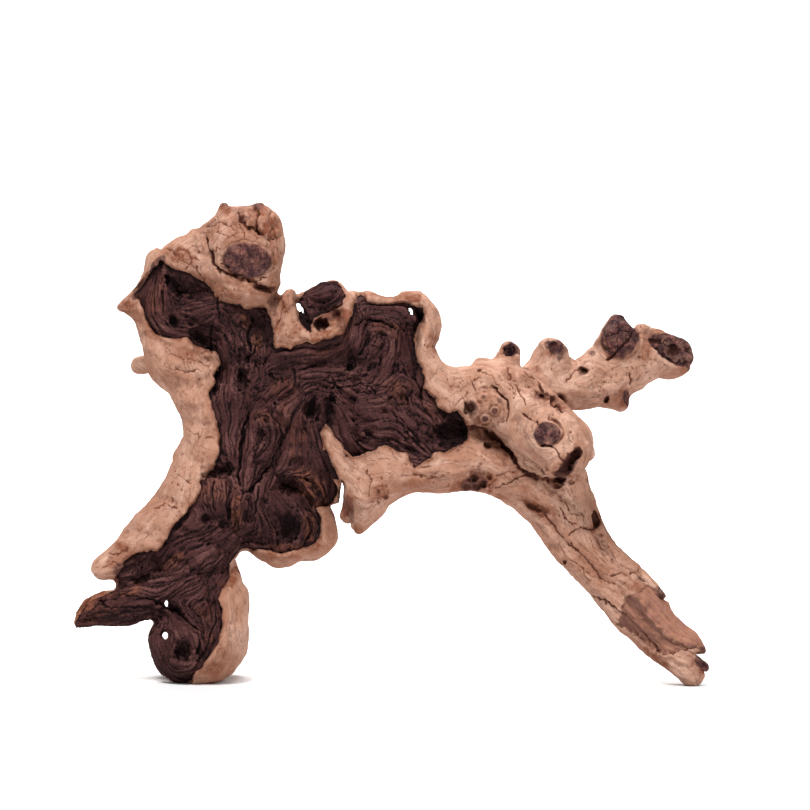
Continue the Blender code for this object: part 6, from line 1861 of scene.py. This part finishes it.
class MopaniStage(bpy.types.PropertyGroup):
    """The floor, the lamps and the camera"""

    floor_colour: FloatVectorProperty(
        name="Floor", description="Colour of the floor and the backdrop", subtype="COLOR",
        default=(0.9, 0.9, 0.9))
    sky: FloatProperty(
        name="Sky", description="Strength of the light from all round", default=0.26, min=0.0)
    key: FloatProperty(
        name="Key lamp", description="Power of the main lamp", default=47.0, unit="POWER")
    fill: FloatProperty(
        name="Fill lamp", description="Power of the second lamp", default=12.0, unit="POWER")
    wash: FloatProperty(
        name="Backdrop lamp", description="Power of the lamp on the backdrop", default=110.0, unit="POWER")


# Operators


class GrowSkin(bpy.types.Operator):
    """Grows the whole root's skin, which the pieces are then sawn from"""

    bl_idname = "mopani.grow_skin"
    bl_label = "Grow the skin"

    def execute(self, context):
        grow_skin(context.scene.mopani_form)
        return {"FINISHED"}


class SawnPiece:
    """Makes one node's piece of the skin and puts it in the place of its solid."""

    node = ""
    slot = ""
    limit = 198000

    def execute(self, context):
        piece = cut_piece(self.node, self.limit)
        piece.data.materials.clear()
        piece.data.materials.append(the_wood())
        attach(piece, "root")
        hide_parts(self.node)
        return {"FINISHED"}


class HeartCrown(SawnPiece, bpy.types.Operator):
    """The broad middle plate of dark heartwood, framed by pale sapwood"""

    bl_idname = "mopani.heart_crown"
    bl_label = "Heart crown"
    node = "heart_crown"
    slot = "heartwood"


class Head(SawnPiece, bpy.types.Operator):
    """The knobbly burl at the upper left, over the hollow neck"""

    bl_idname = "mopani.head"
    bl_label = "Head"
    node = "head"
    slot = "sapwood"


class LeftRoot(SawnPiece, bpy.types.Operator):
    """The leg down to the broad foot, with the hanging lobes"""

    bl_idname = "mopani.left_root"
    bl_label = "Left root"
    node = "left_root"
    slot = "heartwood"


class SideSpike(SawnPiece, bpy.types.Operator):
    """The pointed prong above the foot"""

    bl_idname = "mopani.side_spike"
    bl_label = "Side spike"
    node = "side_spike"
    slot = "heartwood"


class DropSpur(SawnPiece, bpy.types.Operator):
    """The pale pointed spur that hangs from the middle"""

    bl_idname = "mopani.drop_spur"
    bl_label = "Drop spur"
    node = "drop_spur"
    slot = "sapwood"


class Knuckle(SawnPiece, bpy.types.Operator):
    """The burl right of the middle, with the lower limb and the small horn"""

    bl_idname = "mopani.knuckle"
    bl_label = "Knuckle"
    node = "knuckle"
    slot = "sapwood"


class LongRoot(SawnPiece, bpy.types.Operator):
    """The long root that runs down to the right, to its splintered end"""

    bl_idname = "mopani.long_root"
    bl_label = "Long root"
    node = "long_root"
    slot = "sapwood"


class HighBranch(SawnPiece, bpy.types.Operator):
    """The knobbly branch that sticks out to the right"""

    bl_idname = "mopani.high_branch"
    bl_label = "High branch"
    node = "high_branch"
    slot = "sapwood"


class Stage(bpy.types.Operator):
    """The pale floor, the soft lamps and the camera"""

    bl_idname = "mopani.stage"
    bl_label = "Stage"

    def execute(self, context):
        build_stage(context.scene.mopani_stage)
        return {"FINISHED"}


def lamp(name, place, target, size, power):
    data = bpy.data.lights.new(name, "AREA")
    data.shape = "DISK"
    data.size = size
    data.energy = power
    obj = bpy.data.objects.new(name, data)
    obj.location = place
    obj.rotation_euler = (Vector(target) - Vector(place)).to_track_quat("-Z", "Y").to_euler()
    bpy.context.scene.collection.objects.link(obj)


def build_stage(stage):
    scene = bpy.context.scene
    floor_mesh = bpy.data.meshes.new("floor")
    bm = bmesh.new()
    width, front, back, height, bend = 2.2, -1.0, 3.2, 2.6, 1.0
    profile = [(front, 0.0), (back - bend, 0.0)]
    profile += [(back - bend + bend * math.sin(turn), bend - bend * math.cos(turn))
                for turn in np.linspace(0.1, math.pi / 2, 12)]
    profile.append((back, height))
    rows = [[bm.verts.new((side, y, z)) for side in (-width, width)] for y, z in profile]
    for (a, b), (c, d) in zip(rows, rows[1:]):
        bm.faces.new((a, b, d, c)).smooth = True
    bm.to_mesh(floor_mesh)
    bm.free()
    floor = bpy.data.objects.new("floor", floor_mesh)
    scene.collection.objects.link(floor)
    material = bpy.data.materials.new("pale floor")
    material.use_nodes = True
    shader = material.node_tree.nodes["Principled BSDF"]
    shader.inputs["Base Color"].default_value = (*stage.floor_colour, 1.0)
    shader.inputs["Roughness"].default_value = 0.9
    floor_mesh.materials.append(material)

    world = bpy.data.worlds.new("studio")
    world.use_nodes = True
    background = world.node_tree.nodes["Background"]
    background.inputs["Color"].default_value = (1.0, 1.0, 1.0, 1.0)
    sky = Nodes(world.node_tree)
    seen_directly = sky.add("ShaderNodeLightPath").outputs["Is Camera Ray"]
    sky.put(sky.scaled(seen_directly, 0.0, 1.0, stage.sky, 1.0), background.inputs["Strength"])
    scene.world = world
    lamp("key lamp", (-0.45, -1.1, 1.9), (0.0, 0.0, 0.14), 0.8, stage.key)
    lamp("fill lamp", (1.3, -1.4, 1.0), (0.0, 0.0, 0.14), 1.2, stage.fill)
    lamp("backdrop lamp", (0.0, 1.0, 2.2), (0.0, 2.7, 0.2), 1.6, stage.wash)
    scene.view_settings.view_transform = "Standard"

    camera_data = bpy.data.cameras.new("camera")
    camera_data.sensor_width = SENSOR_WIDTH
    camera_data.lens = SENSOR_WIDTH * VIEW_DISTANCE / VIEW_WIDTH
    camera = bpy.data.objects.new("camera", camera_data)
    target = Vector((VIEW_CENTRE_X - MIDDLE[0], -MIDDLE[1], VIEW_CENTRE_Z)) * MM
    back_off = Vector((0.0, -math.cos(VIEW_ELEVATION), math.sin(VIEW_ELEVATION)))
    camera.location = target + back_off * VIEW_DISTANCE * MM
    camera.rotation_euler = (-back_off).to_track_quat("-Z", "Y").to_euler()
    scene.collection.objects.link(camera)
    scene.camera = camera


class MopaniPanel(bpy.types.Panel):
    """Lists the root's settings and the steps that make it"""

    bl_idname = "MOPANI_PT_root"
    bl_label = "Mopani Root"
    bl_space_type = "VIEW_3D"
    bl_region_type = "UI"
    bl_category = "Mopani Root"

    def draw(self, context):
        layout = self.layout
        for group in SETTINGS:
            settings = getattr(context.scene, group)
            box = layout.box()
            for name in settings.bl_rna.properties.keys():
                if name not in ("rna_type", "name"):
                    box.prop(settings, name)
        for step in STEPS:
            layout.operator(step.bl_idname)


SETTINGS = {"mopani_form": MopaniForm, "mopani_colours": MopaniColours, "mopani_stage": MopaniStage}
STEPS = (GrowSkin, HeartCrown, Head, LeftRoot, SideSpike, DropSpur, Knuckle, LongRoot, HighBranch, Stage)


def register():
    for cls in (*SETTINGS.values(), *STEPS, MopaniPanel):
        bpy.utils.register_class(cls)
    for name, cls in SETTINGS.items():
        setattr(bpy.types.Scene, name, PointerProperty(type=cls))


def unregister():
    for name in SETTINGS:
        delattr(bpy.types.Scene, name)
    for cls in reversed((*SETTINGS.values(), *STEPS, MopaniPanel)):
        bpy.utils.unregister_class(cls)


def main():
    register()
    for step in STEPS:
        space, name = step.bl_idname.split(".")
        getattr(getattr(bpy.ops, space), name)()
    bpy.data.meshes.remove(bpy.data.meshes[SKIN])


if __name__ == "__main__":
    main()
